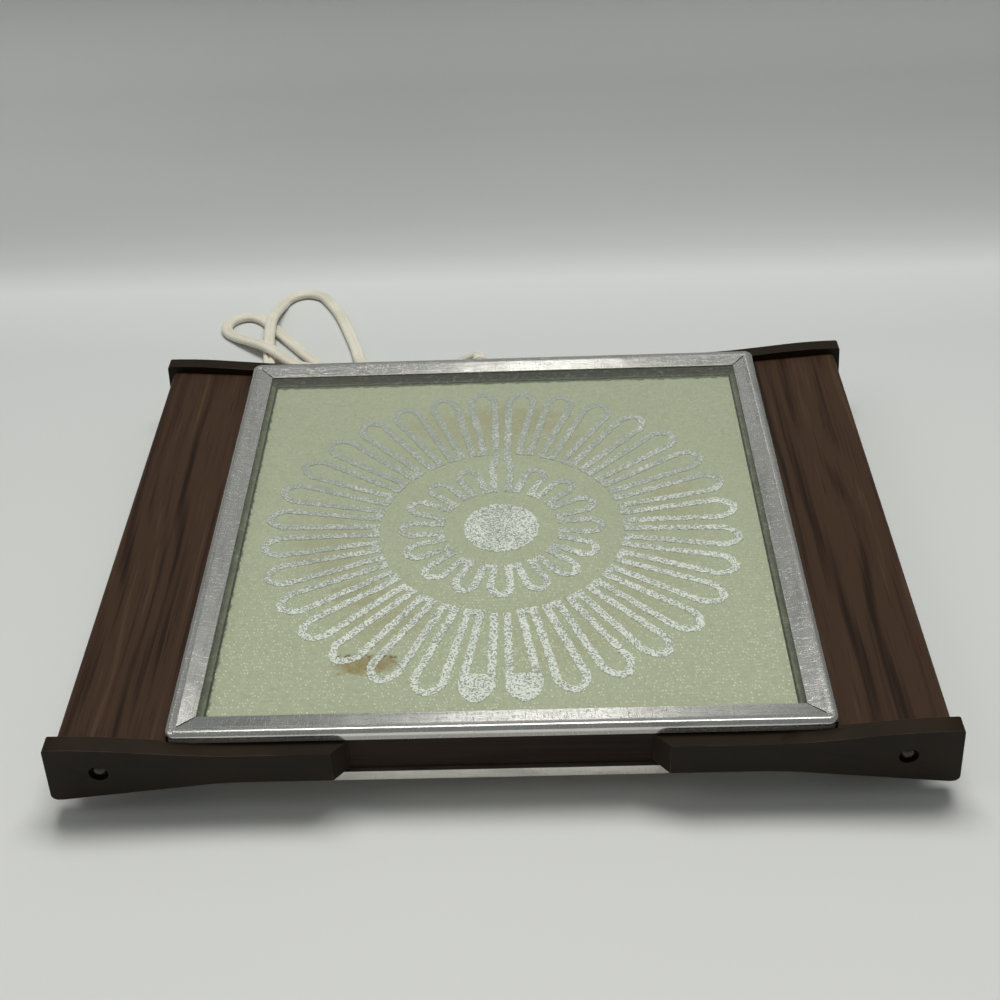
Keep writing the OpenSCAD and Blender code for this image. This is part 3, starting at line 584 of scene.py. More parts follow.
@dataclass(frozen=True)
class CreamBoard:
    """Cream-green board with heat stains, seen through the pebbled glass. Its colour also holds
    painted light: glints of the pebbles, shade towards the back and the frame's shadow along the
    back and left edges.
    """

    name: str = "cream_board"
    base: Point = (0.530, 0.578, 0.450)
    deep: Point = (0.424, 0.466, 0.344)
    glint: Point = (0.94, 0.96, 0.78)
    back_shade: Point = (0.255, 0.292, 0.222)
    brown: Point = (0.30, 0.215, 0.060)
    char: Point = (0.10, 0.070, 0.028)
    shade: Point = (0.075, 0.090, 0.052)
    pebbles: float = 760.0
    glints: float = 640.0
    ring_r: float = 0.084
    # Where the painted shadow band starts along the back and the left edge, in metres.
    shadow_band_back: tuple[float, float] = (0.1285, 0.1300)
    shadow_band_left: tuple[float, float] = (0.1300, 0.1312)
    stains: tuple[Stain, ...] = (
        Stain(-62, -98, 17, 7.5, 1.0, 0.10), Stain(-70, -50, 17, 12, 0.45),
        Stain(-50, -70, 14, 12, 0.35), Stain(-86, -14, 20, 30, 0.30),
        Stain(8, 92, 34, 17, 0.40), Stain(-30, 88, 26, 14, 0.28),
    )

    def make(self) -> bpy.types.Material:
        """Build the material."""
        g = Graph(self.name)
        here = g.coords()
        x, y, _ = g.axis(here)
        cell, _, _ = g.axis(g.cells(here, self.pebbles, "F1", 1))
        cloud = g.noise(here, 22.0, 3.0)
        colour = g.blend(cell * 0.45 + cloud * 0.55, self.deep, self.base)
        # Painted highlights: pale flecks in skewed rows stand for glints off the glass's pebbles,
        # with more of them towards the front.
        rows = g.vector(x * 1.15 + y * 0.45, y * 0.75, 0.0)
        spot, _, _ = g.axis(g.cells(rows, self.glints, "F1", 1, 0.45))
        glint = g.cells(rows, self.glints, chaos=0.45).between(0.36, 0.12)
        glint = glint * spot.between(0.05, 0.60) * (0.35 + y.between(0.02, -0.09) * 0.50)
        colour = g.blend(glint, colour, self.glint)
        # Painted shade: the board turns darker towards the back.
        colour = g.blend(y.between(-0.14, 0.14) * 0.34, colour, self.back_shade)
        ragged = g.noise(here, 160.0, 3.0, 0.7)
        ring = abs((x * x + y * y) ** 0.5 - self.ring_r).between(0.034, 0.010)
        tint = ring * cloud.between(0.40, 0.72) * 0.25
        for s in self.stains:
            off_x, off_y = x - s.x * MM, y - s.y * MM
            dx = (off_x + off_y * s.slant) / (s.half_x * MM)
            dy = (off_y - off_x * s.slant) / (s.half_y * MM)
            near = ((dx * dx + dy * dy) ** 0.5 + (ragged - 0.5) * 1.4).between(1.05, 0.55)
            tint = tint.most(near * s.strength * (0.60 + cell * 0.40))
        colour = g.blend(tint, colour, self.brown)
        main = self.stains[0]
        edge = abs(y - (main.y + main.half_y * 0.75) * MM + (x - main.x * MM) * 0.06)
        burnt = edge.between(0.0016, 0.0004) * abs(x - main.x * MM).between(0.0165, 0.0125)
        colour = g.blend(burnt * cell.between(0.25, 0.60) * 0.85, colour, self.char)
        # Painted shadow: a dark green wavy band along the back and left edges, where the frame's
        # flange shades the board.
        wave = (g.noise(here, 260.0, 2.0) - 0.5) * 0.0034
        back, left = self.shadow_band_back, self.shadow_band_left
        shadow_band = (y + wave).between(*back).most((wave - x).between(*left))
        colour = g.blend(shadow_band * 0.9, colour, self.shade)
        return g.finish(
            g.shader(colour, Roughness=0.75, Normal=g.bump(cell, 0.0001, 0.35))
        )


@dataclass(frozen=True)
class Plain:
    """A surface of one material whose colour clouds and roughness follow two noises."""

    name: str
    base: Point
    other: Point
    rough: float
    metal: float = 0.0
    cloud: float = 60.0
    fine: float = 1500.0
    depth: float = 0.00005
    coat: float = 0.0

    def make(self) -> bpy.types.Material:
        """Build the material."""
        g = Graph(self.name)
        here = g.coords()
        cloud = g.noise(here, self.cloud, 4.0, 0.6)
        fine = g.noise(here, self.fine, 2.0)
        colour = g.blend(cloud.between(0.35, 0.70), self.base, self.other)
        inputs: dict = {
            "Metallic": self.metal,
            "Roughness": self.rough + (cloud - 0.5) * 0.2,
            "Normal": g.bump(fine * 0.7 + cloud * 0.5, self.depth, 0.7),
        }
        if self.coat:
            inputs["Coat Weight"] = self.coat
        return g.finish(g.shader(colour, **inputs))


FINISHES: dict[str, Plain] = {
    "gasket": Plain("dark_gasket", (0.075, 0.100, 0.062), (0.150, 0.180, 0.115), 0.6,
                    depth=0.0002),
    "zinc_steel": Plain("zinc_steel", (0.50, 0.50, 0.48), (0.36, 0.36, 0.34), 0.38, 1.0),
    "mineral_wool": Plain("mineral_wool", (0.62, 0.52, 0.28), (0.48, 0.40, 0.20), 0.95,
                          cloud=180.0, fine=700.0, depth=0.0006),
    "reflector_foil": Plain("reflector_foil", (0.72, 0.72, 0.72), (0.60, 0.60, 0.59), 0.25, 1.0),
    "dark_screw": Plain("dark_screw", (0.020, 0.016, 0.013), (0.034, 0.027, 0.021), 0.24),
    "rivet_aluminium": Plain("rivet_aluminium", (0.60, 0.60, 0.58), (0.45, 0.45, 0.43), 0.35, 1.0),
    "foot_rubber": Plain("foot_rubber", (0.030, 0.028, 0.025), (0.055, 0.050, 0.044), 0.75,
                         depth=0.0001),
    "brass": Plain("brass", (0.60, 0.42, 0.17), (0.45, 0.31, 0.13), 0.30, 1.0),
    "lead_sleeve": Plain("woven_sleeve", (0.62, 0.57, 0.44), (0.48, 0.43, 0.32), 0.85,
                         fine=2600.0, depth=0.00015),
    "cord_ivory": Plain("ivory_vinyl", (0.74, 0.70, 0.585), (0.64, 0.60, 0.485), 0.42,
                        cloud=45.0, coat=0.15),
    "tie_strap": Plain("brown_strap", (0.060, 0.035, 0.020), (0.090, 0.055, 0.034), 0.5),
    "inner_sheet": Plain("galvanised_sheet", (0.40, 0.40, 0.385), (0.27, 0.27, 0.26), 0.45, 1.0,
                         cloud=90.0),
}


# ---------------------------------------------------------------- mesh helpers


def place_new(name: str, data: bpy.types.ID) -> bpy.types.Object:
    """Link a new object to the scene.

    Args:
        name: Its name.
        data: Its mesh, curve, camera or light.

    Returns:
        The object.
    """
    made = bpy.data.objects.new(name, data)
    bpy.context.scene.collection.objects.link(made)
    return made


def put(name: str, mesh: bpy.types.Mesh, *materials: bpy.types.Material) -> bpy.types.Object:
    """Make a piece from a mesh and let it ride on the tray.

    Args:
        name: The piece's name.
        mesh: Its mesh, in place.
        materials: Its material slots.

    Returns:
        The piece.
    """
    mesh.materials.clear()
    for material in materials:
        mesh.materials.append(material)
    piece = place_new(name, mesh)
    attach(piece, ROOT)
    return piece


def clean_copy(node: str) -> bmesh.types.BMesh:
    """A CAD node's surface with its triangles merged into whole faces.

    Args:
        node: The node's name.

    Returns:
        The surface, to be freed by the caller.
    """
    bm = bmesh.new()
    bm.from_mesh(bpy.data.objects[node].data)
    bmesh.ops.remove_doubles(bm, verts=bm.verts, dist=WELD_CAD)
    bmesh.ops.dissolve_limit(
        bm, angle_limit=math.radians(FLAT_DEG), verts=bm.verts, edges=bm.edges,
        use_dissolve_boundaries=False,
    )
    return bm


def softened(
    node: str,
    slot: str,
    *materials: bpy.types.Material,
    edge: float = 0.0,
    segments: int = 2,
    corner: float = 32.0,
    edge_slot: int = -1,
) -> bpy.types.Object:
    """Stand a piece with rounded edges in for a CAD node of the same shape.

    Args:
        node: The CAD node.
        slot: The record's material slot; not used.
        materials: The piece's materials.
        edge: Width of the rounding in millimetres, or 0 for none.
        segments: Steps in the rounding.
        corner: The least angle that counts as an edge, in degrees.
        edge_slot: Material index of the rounded edges, or -1 for the faces' own.

    Returns:
        The piece.
    """
    bm = clean_copy(node)
    mesh = bpy.data.meshes.new(node + "_soft")
    bm.to_mesh(mesh)
    bm.free()
    for face in mesh.polygons:
        face.use_smooth = True
    mesh.set_sharp_from_angle(angle=math.radians(corner))
    piece = put(node + "_dressed", mesh, *materials)
    if edge:
        bevel = piece.modifiers.new("rounding", "BEVEL")
        bevel.width = edge * MM
        bevel.segments = segments
        bevel.limit_method = "ANGLE"
        bevel.angle_limit = math.radians(corner)
        bevel.miter_outer = "MITER_ARC"
        bevel.harden_normals = True
        bevel.material = edge_slot
    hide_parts(node)
    LOG.info("%s: rounded copy", node)
    return piece


def dress(node: str, material: bpy.types.Material) -> None:
    """Give a CAD node its finish.

    Args:
        node: The node's name.
        material: The finish.
    """
    mesh = bpy.data.objects[node].data
    mesh.materials.clear()
    mesh.materials.append(material)
    LOG.info("%s: %s", node, material.name)


def smooth_line(points: Sequence[Point], pieces: int) -> list[Point]:
    """A smooth curve through points, by the same rule as in the part's source.

    Args:
        points: The points.
        pieces: Steps between neighbours.

    Returns:
        Points along the curve.
    """
    made: list[Point] = []
    last = len(points) - 1
    for i in range(last):
        a, b = Vector(points[max(i - 1, 0)]), Vector(points[i])
        c, d = Vector(points[i + 1]), Vector(points[min(i + 2, last)])
        for k in range(pieces):
            t = k / pieces
            p = 0.5 * (2 * b + (c - a) * t + (2 * a - 5 * b + 4 * c - d) * t * t
                       + (3 * b - a - 3 * c + d) * t ** 3)
            made.append(tuple(p))
    made.append(tuple(points[last]))
    return made


# ---------------------------------------------------------------- camera and studio


@dataclass
class PhotoCamera:
    """The camera, where the photograph was taken from."""

    place: Point = (0.01905, -0.57164, 0.50573)
    right: Point = (0.99931225, 0.00409612, -0.03685431)
    down: Point = (-0.02627765, -0.62301540, -0.78176806)
    forward: Point = (-0.02616302, 0.78219884, -0.62247929)
    focal_px: float = 1450.99
    image_px: float = 1000.0
    sensor_mm: float = 36.0
    clip: tuple[float, float] = (0.02, 20.0)

    def make(self) -> bpy.types.Object:
        """Make the camera and use it.

        Returns:
            The camera.
        """
        data = bpy.data.cameras.new("photo_camera")
        data.sensor_width = self.sensor_mm
        data.lens = self.focal_px / self.image_px * self.sensor_mm
        data.clip_start, data.clip_end = self.clip
        camera = place_new("photo_camera", data)
        turn = Matrix((self.right, [-v for v in self.down], [-v for v in self.forward]))
        camera.matrix_world = Matrix.Translation(self.place) @ turn.transposed().to_4x4()
        bpy.context.scene.camera = camera
        return camera


@dataclass
class Studio:
    """Pale floor that sweeps up into a backdrop, soft lamps and the world's light.

    `cards` are what only the metal and the glass mirror. Each has a name, a place, the
    point that it faces, its width and height, and its power.
    """

    sweep_y: float = 0.40
    sweep_r: float = 0.16
    sweep_deg: float = 86.0
    sweep_steps: int = 24
    wall_h: float = 0.12
    wall_lean: float = 0.07
    half_w: float = 3.0
    front_y: float = -3.0
    world_tone: Point = (0.86, 0.90, 0.90)
    world_strength: float = 0.22
    warm: Point = (1.0, 0.99, 0.95)
    cards: tuple[tuple[str, Point, Point, tuple[float, float], float], ...] = (
        ("low_card", (0.03, 3.0, 1.52), (0.02, -0.14, 0.04), (0.55, 0.26), 0.78),
        ("wide_card", (0.05, 3.05, 1.54), (0.02, -0.14, 0.04), (1.30, 0.26), 0.62),
        ("high_card", (0.04, 2.0, 2.90), (0.03, 0.14, 0.04), (0.34, 0.30), 1.05),
        ("sky_card", (-0.30, 3.20, 3.10), (0.0, 0.0, 0.04), (4.0, 1.4), 1.10),
        ("roll_card", (0.03, 0.75, 2.30), (0.02, -0.14, 0.04), (1.50, 0.80), 13.0),
    )

    def backdrop(self) -> bpy.types.Object:
        """Make the floor and the wall in one sweep.

        Returns:
            The backdrop, which is not part of the tray.
        """
        bm = bmesh.new()
        start = bm.verts.new((-self.half_w, self.front_y, 0.0))
        made = bmesh.ops.extrude_vert_indiv(bm, verts=[start])
        floor_end = made["verts"][0]
        floor_end.co = (-self.half_w, self.sweep_y, 0.0)
        turn = bmesh.ops.spin(
            bm, geom=[floor_end], cent=(-self.half_w, self.sweep_y, self.sweep_r),
            axis=(1, 0, 0), angle=math.radians(self.sweep_deg), steps=self.sweep_steps,
        )
        top = next(v for v in turn["geom_last"] if isinstance(v, bmesh.types.BMVert))
        wall = bmesh.ops.extrude_vert_indiv(bm, verts=[top])["verts"][0]
        wall.co = top.co + Vector((0.0, self.wall_lean, 1.0)) * self.wall_h
        bmesh.ops.remove_doubles(bm, verts=bm.verts, dist=WELD_OWN)
        wide = bmesh.ops.extrude_edge_only(bm, edges=bm.edges)
        moved = [v for v in wide["geom"] if isinstance(v, bmesh.types.BMVert)]
        bmesh.ops.translate(bm, verts=moved, vec=(2 * self.half_w, 0, 0))
        bmesh.ops.recalc_face_normals(bm, faces=bm.faces)
        if sum(face.normal.z for face in bm.faces) < 0.0:
            bmesh.ops.reverse_faces(bm, faces=bm.faces)
        mesh = bpy.data.meshes.new("backdrop")
        bm.to_mesh(mesh)
        bm.free()
        for face in mesh.polygons:
            face.use_smooth = True
        mesh.materials.append(self.paper())
        floor = place_new("backdrop", mesh)
        return floor

    def paper(self) -> bpy.types.Material:
        """Matt pale paper with painted light and shade: the floor dims towards the sweep, the wall
        darkens upwards and lightens again at the top, and a lighter patch lies on the left; it
        isn't seen from its back.
        """
        g = Graph("backdrop_paper")
        here = g.coords()
        x, y, _ = g.axis(here)
        cloud = g.noise(here, 3.0, 2.0)
        # Painted light and shade by depth: bright floor in front, dimmer behind the tray, darker
        # up the sweep and the wall.
        painted_light_tones = (
            (0.0, 0.785), (0.64, 0.595), (0.69, 0.622), (0.732, 0.650), (0.779, 0.495),
            (0.829, 0.416), (0.874, 0.380), (0.934, 0.358), (0.965, 0.378), (1.0, 0.490),
        )
        colour = g.ramp(
            (y + 0.35) / 0.9,
            *((at, (t * (1.0 - 0.03 * at), t, t * (0.95 + 0.02 * at))) for at, t in painted_light_tones),
        )
        # Painted light: a lighter patch on the left of the sweep.
        left = x.between(-0.05, -0.50) * y.between(0.36, 0.52) * 0.17
        colour = g.blend(left, colour, (0.88, 0.90, 0.88))
        colour = g.blend(cloud.between(0.3, 0.7) * 0.06, colour, (0.52, 0.53, 0.52))
        face = g.shader(colour, Roughness=0.62, Specular_IOR_Level=0.25)
        back = g.backfacing()
        clear = g.add("ShaderNodeBsdfTransparent", {})
        return g.finish(g.add("ShaderNodeMixShader", {0: back, 1: face, 2: clear}))

    def lamp(
        self, name: str, place: Point, aim: Point, size: tuple[float, float], watts: float,
        tone: Point = (1.0, 1.0, 1.0),
    ) -> bpy.types.Object:
        """Make one soft lamp.

        Args:
            name: Its name.
            place: Where it stands.
            aim: What it points at.
            size: Its width and height.
            watts: Its power.
            tone: Its colour.

        Returns:
            The lamp.
        """
        data = bpy.data.lights.new(name, "AREA")
        data.shape = "RECTANGLE"
        data.size, data.size_y = size
        data.energy = watts
        data.color = tone
        lamp = place_new(name, data)
        lamp.location = place
        lamp.rotation_euler = (Vector(aim) - Vector(place)).to_track_quat("-Z", "Y").to_euler()
        return lamp

    def make(self) -> None:
        """Make the backdrop, the lamps and the world."""
        self.backdrop()
        ceiling = self.lamp("ceiling_panel", (0.10, 0.45, 1.75), (0, 0.05, 0), (1.3, 0.6), 25.5)
        ceiling.visible_glossy = False
        self.lamp("side_panel", (-1.5, -0.3, 1.5), (0, 0, 0), (1.2, 1.2), 3.5, (1.0, 0.98, 0.95))
        for name, place, aim, size, watts in self.cards:
            card = self.lamp(name, place, aim, size, watts, self.warm)
            card.visible_diffuse = card.visible_camera = False
        world = bpy.data.worlds.new("room")
        world.use_nodes = True
        back = world.node_tree.nodes["Background"]
        back.inputs["Color"].default_value = (*self.world_tone, 1.0)
        back.inputs["Strength"].default_value = self.world_strength
        bpy.context.scene.world = world
        bpy.context.scene.view_settings.view_transform = "Standard"


# ---------------------------------------------------------------- cord


@dataclass
class PowerCord:
    """The flat twin cord: its free stretch, its tied hank and the lead to the plug."""

    width: float = 7.6
    thick: float = 4.2
    exit_x: float = -14.0
    exit_y: float = 168.6
    exit_z: float = 24.5
    on_table: float = 2.2
    crossing: float = 7.0
    hank_x: float = 22.0
    hank_y: float = 144.0
    hank_run: float = 152.0
    fold_r: float = 22.8
    step: float = 9.0
    layer: float = 4.9
    turns_in: float = 1.0
    run_share: float = 0.25
    tie_lift: float = 0.7
    plug_x: float = 151.0
    plug_y: float = 170.0
    plug_z: float = 6.5
    length: float = 1.75
    pressed: float = 0.05
    route_steps: int = 8
    turn_steps: int = 96
    lobe_steps: int = 6

    def free_route(self) -> list[Point]:
        """Points from the strain relief over the table to the hank, in millimetres."""
        lie, over = self.on_table, self.crossing
        x, y, z = self.exit_x, self.exit_y, self.exit_z
        return [
            (x, y, z), (-14.3, y + 6.6, z - 0.8), (-17.5, 181.6, 19.8), (-25, 186, 14.2),
            (-36, 188.4, 8.2), (-49, 190, 4.1), (-62, 191.6, 2.4), (-76, 194.2, lie),
            (-86.6, 199.4, lie), (-92.4, 208.6, lie), (-96.4, 224, lie), (-109, 262, lie),
            (-120.2, 284, lie), (-126.3, 290.4, lie), (-134.1, 292.8, lie),
            (-141.9, 290.6, lie), (-147.6, 284.8, lie), (-150.2, 277, 2.6), (-152.2, 266, 5),
            (-153.6, 252.6, over), (-153.7, 240, 5.6), (-152.6, 224.5, 2.6),
            (-149.4, 202.5, lie), (-145.6, 190.6, lie), (-137.4, 183.4, lie),
            (-126.4, 183.2, lie), (-118, 191.6, lie), (-118.6, 203.4, lie),
            (-129.5, 218.4, lie), (-153, 250, lie), (-160.4, 259.8, lie), (-168.6, 264.8, lie),
            (-177.4, 263.2, lie), (-183.4, 256.2, lie), (-182.8, 247.2, lie),
            (-175.4, 238.6, 2.8), (-152.6, 219.3, over), (-133, 201.6, 5), (-118, 191.6, over),
            (-88, 179.6, lie),
        ]

    def hank_point(self, n: float) -> Point:
        """A point of the hank.

        Args:
            n: Turns wound so far.

        Returns:
            The point, in millimetres.
        """
        t_in, share = self.turns_in, self.run_share
        left = t_in - n if n < t_in else max(0.0, n - t_in - share)
        r = self.fold_r + self.step * left
        level = self.on_table + self.layer * min(1.0, max(0.0, (n - t_in) / share))
        half = self.hank_run / 2
        u = n - math.floor(n)
        q = min(3, math.floor(4 * u))
        s = 4 * u - q
        a = math.pi * s
        x = ((2 * s - 1) * half, half + r * math.sin(a), (1 - 2 * s) * half,
             -half - r * math.sin(a))[q]
        reach = half - 2
        waist = 0.0 if abs(x) > reach else (1 + math.cos(math.pi * x / reach)) / 2
        pull = self.fold_r - self.step / 2
        y = (r - pull * waist, r * math.cos(a), -r + pull * waist, -r * math.cos(a))[q]
        lift = self.tie_lift * waist if q % 2 == 0 else 0.0
        return (self.hank_x + x, self.hank_y + y, level + lift)

    def hank(self) -> list[Point]:
        """Points round all the hank's loops, in millimetres."""
        turns = 2 * self.turns_in + self.run_share
        count = round(turns * self.turn_steps)
        return [self.hank_point(turns * i / count) for i in range(count + 1)]

    def tail(self) -> list[Point]:
        """Points from the hank to the plug, in millimetres."""
        x, y, z = self.hank_point(2 * self.turns_in + self.run_share)
        return [
            (x, y, z), (x + self.width, y, z), (113, 175.4, z), (120.5, 174.3, z - 0.1),
            (128, 172.9, z - 0.2), (135.5, 171.5, self.plug_z + 0.2),
            (143.5, 170.4, self.plug_z + 0.1), (self.plug_x, self.plug_y, self.plug_z),
        ]

    def line(self) -> list[Point]:
        """The whole centre line in metres, from the strain relief to the plug."""
        hank = self.hank()
        lead_in = [(hank[0][0] - self.width, hank[0][1], self.on_table), hank[0]]
        points = smooth_line(self.free_route() + lead_in, self.route_steps) + hank[1:]
        points += smooth_line(self.tail(), self.route_steps)[1:]
        lowest = self.on_table - self.pressed
        return [(x * MM, y * MM, max(z, lowest) * MM) for x, y, z in points]

    def section(self) -> list[tuple[float, float]]:
        """The flat twin's outline: two round lobes with a groove between them."""
        r = self.thick / 2
        middle = self.width / 2 - r
        reach = 180 - math.degrees(math.acos(middle / r))
        steps = self.lobe_steps
        lobe = [
            (middle + r * math.cos(math.radians(a)), r * math.sin(math.radians(a)))
            for a in (reach * (k / steps - 1.0) for k in range(2 * steps + 1))
        ]
        return lobe + [(-x, -y) for x, y in lobe[1:-1]]

    def make(self) -> bpy.types.Object:
        """Sweep the section along the line.

        Returns:
            The cord.
        """
        profile = bpy.data.curves.new("cord_section", "CURVE")
        outline = profile.splines.new("POLY")
        ring = self.section()
        outline.points.add(len(ring) - 1)
        for point, (x, y) in zip(outline.points, ring):
            point.co = (x * MM, y * MM, 0.0, 1.0)
        outline.use_cyclic_u = True
        section = place_new("cord_section", profile)
        curve = bpy.data.curves.new("cord_line", "CURVE")
        curve.dimensions = "3D"
        curve.twist_mode = "Z_UP"
        curve.bevel_mode = "OBJECT"
        curve.bevel_object = section
        curve.use_fill_caps = True
        path = self.line()
        spline = curve.splines.new("POLY")
        spline.points.add(len(path) - 1)
        for point, place in zip(spline.points, path):
            point.co = (*place, 1.0)
        holder = place_new("cord_line", curve)
        bpy.context.view_layer.update()
        ready = holder.evaluated_get(bpy.context.evaluated_depsgraph_get())
        mesh = bpy.data.meshes.new_from_object(ready)
        for spent in (holder, section):
            bpy.data.objects.remove(spent)
        for face in mesh.polygons:
            face.use_smooth = True
        cord = put("cord_flex", mesh, FINISHES["cord_ivory"].make())
        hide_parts("power_cord", "cord_hank", "plug_lead")
        self.width * MM
        LOG.info("cord: %d points", len(path))
        return cord


# ---------------------------------------------------------------- glass top


@dataclass
class GlassTop:
    """The aluminium frame, the glass and what lies under it.

    The film's edges are cut into steps of `edge_step` and moved outwards by up to
    `ragged`, or inwards by up to `inward` times that. The film's top lies
    `clear_of_glass` lower than in the CAD. Lengths are in millimetres.
    """

    edge_step: float = 1.1
    ragged: float = 0.45
    inward: float = 0.6
    clear_of_glass: float = 0.05
    layers: tuple[tuple[str, str], ...] = (
        ("glass_gasket", "gasket"), ("glass_ledge", "inner_sheet"),
        ("insulation_blanket", "mineral_wool"), ("reflector_sheet", "reflector_foil"),
    )

    def film(self, node: str, material: bpy.types.Material) -> bpy.types.Object:
        """The printed film with ragged edges, as the pebbled glass shows it.

        Args:
            node: The film's CAD node.
            material: Its finish.

        Returns:
            The film.
        """
        bm = clean_copy(node)
        long_edges = [e for e in bm.edges if e.calc_length() > 1.6 * self.edge_step * MM]
        for edge in long_edges:
            cuts = round(edge.calc_length() / (self.edge_step * MM)) - 1
            if edge.is_valid and cuts > 0 and abs(edge.verts[0].co.z - edge.verts[1].co.z) < 1e-5:
                bmesh.ops.subdivide_edges(bm, edges=[edge], cuts=cuts)
        bm.normal_update()
        moves = []
        for vert in bm.verts:
            walls = [f.normal for f in vert.link_faces if abs(f.normal.z) < 0.5]
            out = sum(walls, Vector((0, 0, 0)))
            key = round(vert.co.x * 1e5) * 7919 + round(vert.co.y * 1e5)
            reach = random.Random(key).uniform(-self.inward, 1.0) * self.ragged * MM
            moves.append((vert, out.normalized() * reach if walls else Vector((0, 0, 0))))
        top = max(v.co.z for v in bm.verts) - 0.1 * MM
        for vert, move in moves:
            vert.co += move
            if vert.co.z > top:
                vert.co.z -= self.clear_of_glass * MM
        bmesh.ops.triangulate(bm, faces=bm.faces)
        for face in bm.faces:
            face.smooth = False
        mesh = bpy.data.meshes.new(node + "_ragged")
        bm.to_mesh(mesh)
        bm.free()
        piece = put(node + "_printed", mesh, material)
        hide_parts(node)
        LOG.info("%s: %d edge points", node, len(mesh.vertices))
        return piece

    def make(self) -> None:
        """Make and dress the frame, the glass and the print."""
        # The frame gets painted shade on its skirt.
        strip = BentAluminium(skirt_shade=0.7).make()
        softened("top_frame", "frame_aluminium", strip, edge=0.22, corner=40)
        dress("glass_plate", PebbledGlass().make())
        self.film("heating_track", SilverFilm().make())
        # The disc's grains get more painted highlight than the track's.
        self.film("centre_disc", SilverFilm("disc_film", extra_light=0.22).make())
        dress("backing_board", CreamBoard().make())
        for node, finish in self.layers:
            dress(node, FINISHES[finish].make())


# ---------------------------------------------------------------- body


@dataclass
class Body:
    """The sheet-metal body under the glass."""

    def make(self) -> None:
        """Make and dress the walls, the pan and the feet."""
        # Painted shade: the aprons get a darker copy of the wings' walnut, for the recessed faces
        # under the frame's edge.
        shaded_apron_walnut = Walnut("apron_woodgrain_shaded", Grain.ALONG_X, dark=(0.012, 0.007, 0.0045),
                       middle=(0.030, 0.018, 0.0115), light=(0.050, 0.031, 0.020)).make()
        for node in ("front_apron", "back_apron"):
            dress(node, shaded_apron_walnut)
        inner = FINISHES["inner_sheet"].make()
        for node in ("side_wall_left", "side_wall_right"):
            dress(node, inner)
        rim = BentAluminium("bright_pan", (0.84, 0.81, 0.74), rough=0.28, soiled=0.9).make()
        softened("bottom_pan", "pan_steel", rim, edge=1.0, segments=5)
        rubber = FINISHES["foot_rubber"].make()
        for spot in CORNERS:
            softened(f"foot_{spot}", "foot_rubber", rubber, edge=0.6, segments=3, corner=50)


@dataclass
class Wings:
    """The two woodgrain wings and the moulded brackets that carry them."""

    rounding: float = 0.9

    def make(self) -> None:
        """Make and dress the wings and the brackets."""
        for side, shift in (("left", 0.0), ("right", 0.37)):
            walnut = Walnut(f"wing_woodgrain_{side}", Grain.ALONG_Y, offset=shift).make()
            softened(f"wing_{side}", "woodgrain_steel", walnut, edge=0.35)
        brown = BrownMoulding().make()
        worn = BrownMoulding("brown_moulding_worn", wear=0.8, pale=(0.11, 0.078, 0.050)).make()
        for spot in CORNERS:
            softened(f"bracket_{spot}", "brown_moulding", brown, worn,
                     edge=self.rounding, segments=3, corner=38, edge_slot=1)


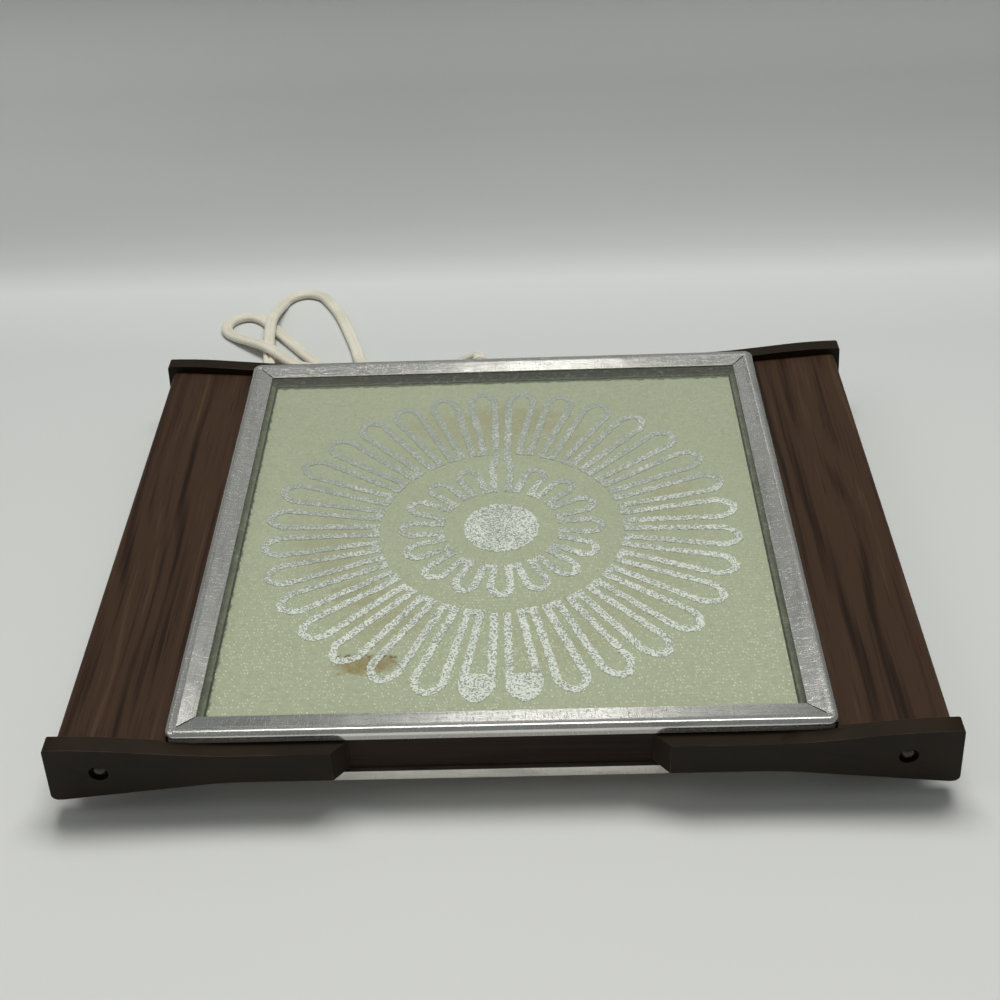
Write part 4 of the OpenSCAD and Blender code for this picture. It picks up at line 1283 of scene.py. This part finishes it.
@dataclass
class SmallParts:
    """Screws, rivets, wiring and what is on the cord."""

    plug_rows: tuple[Point, ...] = (
        (0, 3.6, 3.6), (0.5, 4.1, 4.1), (4.0, 4.9, 4.9), (8.0, 6.0, 6.0), (9.2, 8.6, 6.3),
        (10.0, 11.0, 6.45), (11.2, 11.9, 6.5), (13.4, 12.0, 6.5), (14.0, 11.5, 6.1),
        (15.2, 11.5, 6.1), (15.8, 12.0, 6.5), (17.4, 12.0, 6.5), (18.0, 11.5, 6.1),
        (19.2, 11.5, 6.1), (19.8, 12.0, 6.5), (21.4, 12.0, 6.5), (22.0, 11.5, 6.1),
        (23.2, 11.5, 6.1), (23.8, 12.0, 6.5), (29.2, 12.0, 6.5), (29.7, 11.8, 6.2),
        (30.0, 11.3, 5.7),
    )
    dressed: tuple[tuple[str, str], ...] = (
        ("screw_nuts", "zinc_steel"), ("apron_screws", "zinc_steel"),
        ("foot_screws", "zinc_steel"), ("foot_nuts", "zinc_steel"),
        ("terminal_left", "brass"), ("terminal_right", "brass"),
        ("wire_crimps", "brass"), ("plug_blades", "brass"),
        ("lead_left", "lead_sleeve"), ("lead_right", "lead_sleeve"),
        ("inner_cord", "cord_ivory"), ("cord_tie", "tie_strap"),
    )

    def make(self) -> None:
        """Dress the hidden hardware and round what shows."""
        used = sorted({finish for _, finish in self.dressed})
        ready = {name: FINISHES[name].make() for name in used}
        for node, finish in self.dressed:
            dress(node, ready[finish])
        softened("bracket_screws", "dark_screw", FINISHES["dark_screw"].make(), edge=0.2)
        softened("wing_rivets", "rivet_aluminium", FINISHES["rivet_aluminium"].make(), edge=0.3)
        ivory = ready["cord_ivory"]
        softened("strain_relief", "cord_ivory", ivory, edge=0.3)
        self.plug(ivory)

    def plug(self, ivory: bpy.types.Material, sides: int = 48) -> bpy.types.Object:
        """Loft the moulded plug from its nose to its face, with grip ribs on the way.

        Args:
            ivory: Its finish.
            sides: Points round each row.

        Returns:
            The plug.
        """
        low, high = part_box("plug_body")
        start, middle = low[0], (Vector(low) + Vector(high)) / 2
        last = len(self.plug_rows) - 1
        bm = bmesh.new()
        bmesh.ops.create_grid(bm, x_segments=last, y_segments=sides, size=1.0)
        for vert in bm.verts:
            along, wide, tall = self.plug_rows[round((vert.co.x + 1) / 2 * last)]
            turn = (vert.co.y + 1) * math.pi
            side = math.cos(turn)
            across = math.copysign(wide - tall, side) + tall * side
            vert.co = (
                start + along * MM, middle.y + across * MM, middle.z + tall * math.sin(turn) * MM
            )
        bmesh.ops.remove_doubles(bm, verts=bm.verts, dist=WELD_OWN)
        bmesh.ops.holes_fill(bm, edges=[e for e in bm.edges if e.is_boundary], sides=sides + 1)
        bmesh.ops.recalc_face_normals(bm, faces=bm.faces)
        mesh = bpy.data.meshes.new("plug_loft")
        bm.to_mesh(mesh)
        bm.free()
        for face in mesh.polygons:
            face.use_smooth = len(face.vertices) < 6
        mesh.set_sharp_from_angle(angle=math.radians(40))
        piece = put("plug_body_dressed", mesh, ivory)
        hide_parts("plug_body")
        return piece


# ---------------------------------------------------------------- order of work


def main() -> None:
    """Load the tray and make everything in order."""
    logging.basicConfig(level=logging.INFO, format="%(name)s: %(message)s")
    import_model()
    PhotoCamera().make()
    SmallParts().make()
    PowerCord().make()
    Studio().make()
    GlassTop().make()
    Body().make()
    Wings().make()
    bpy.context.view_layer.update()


if __name__ == "__main__":
    main()
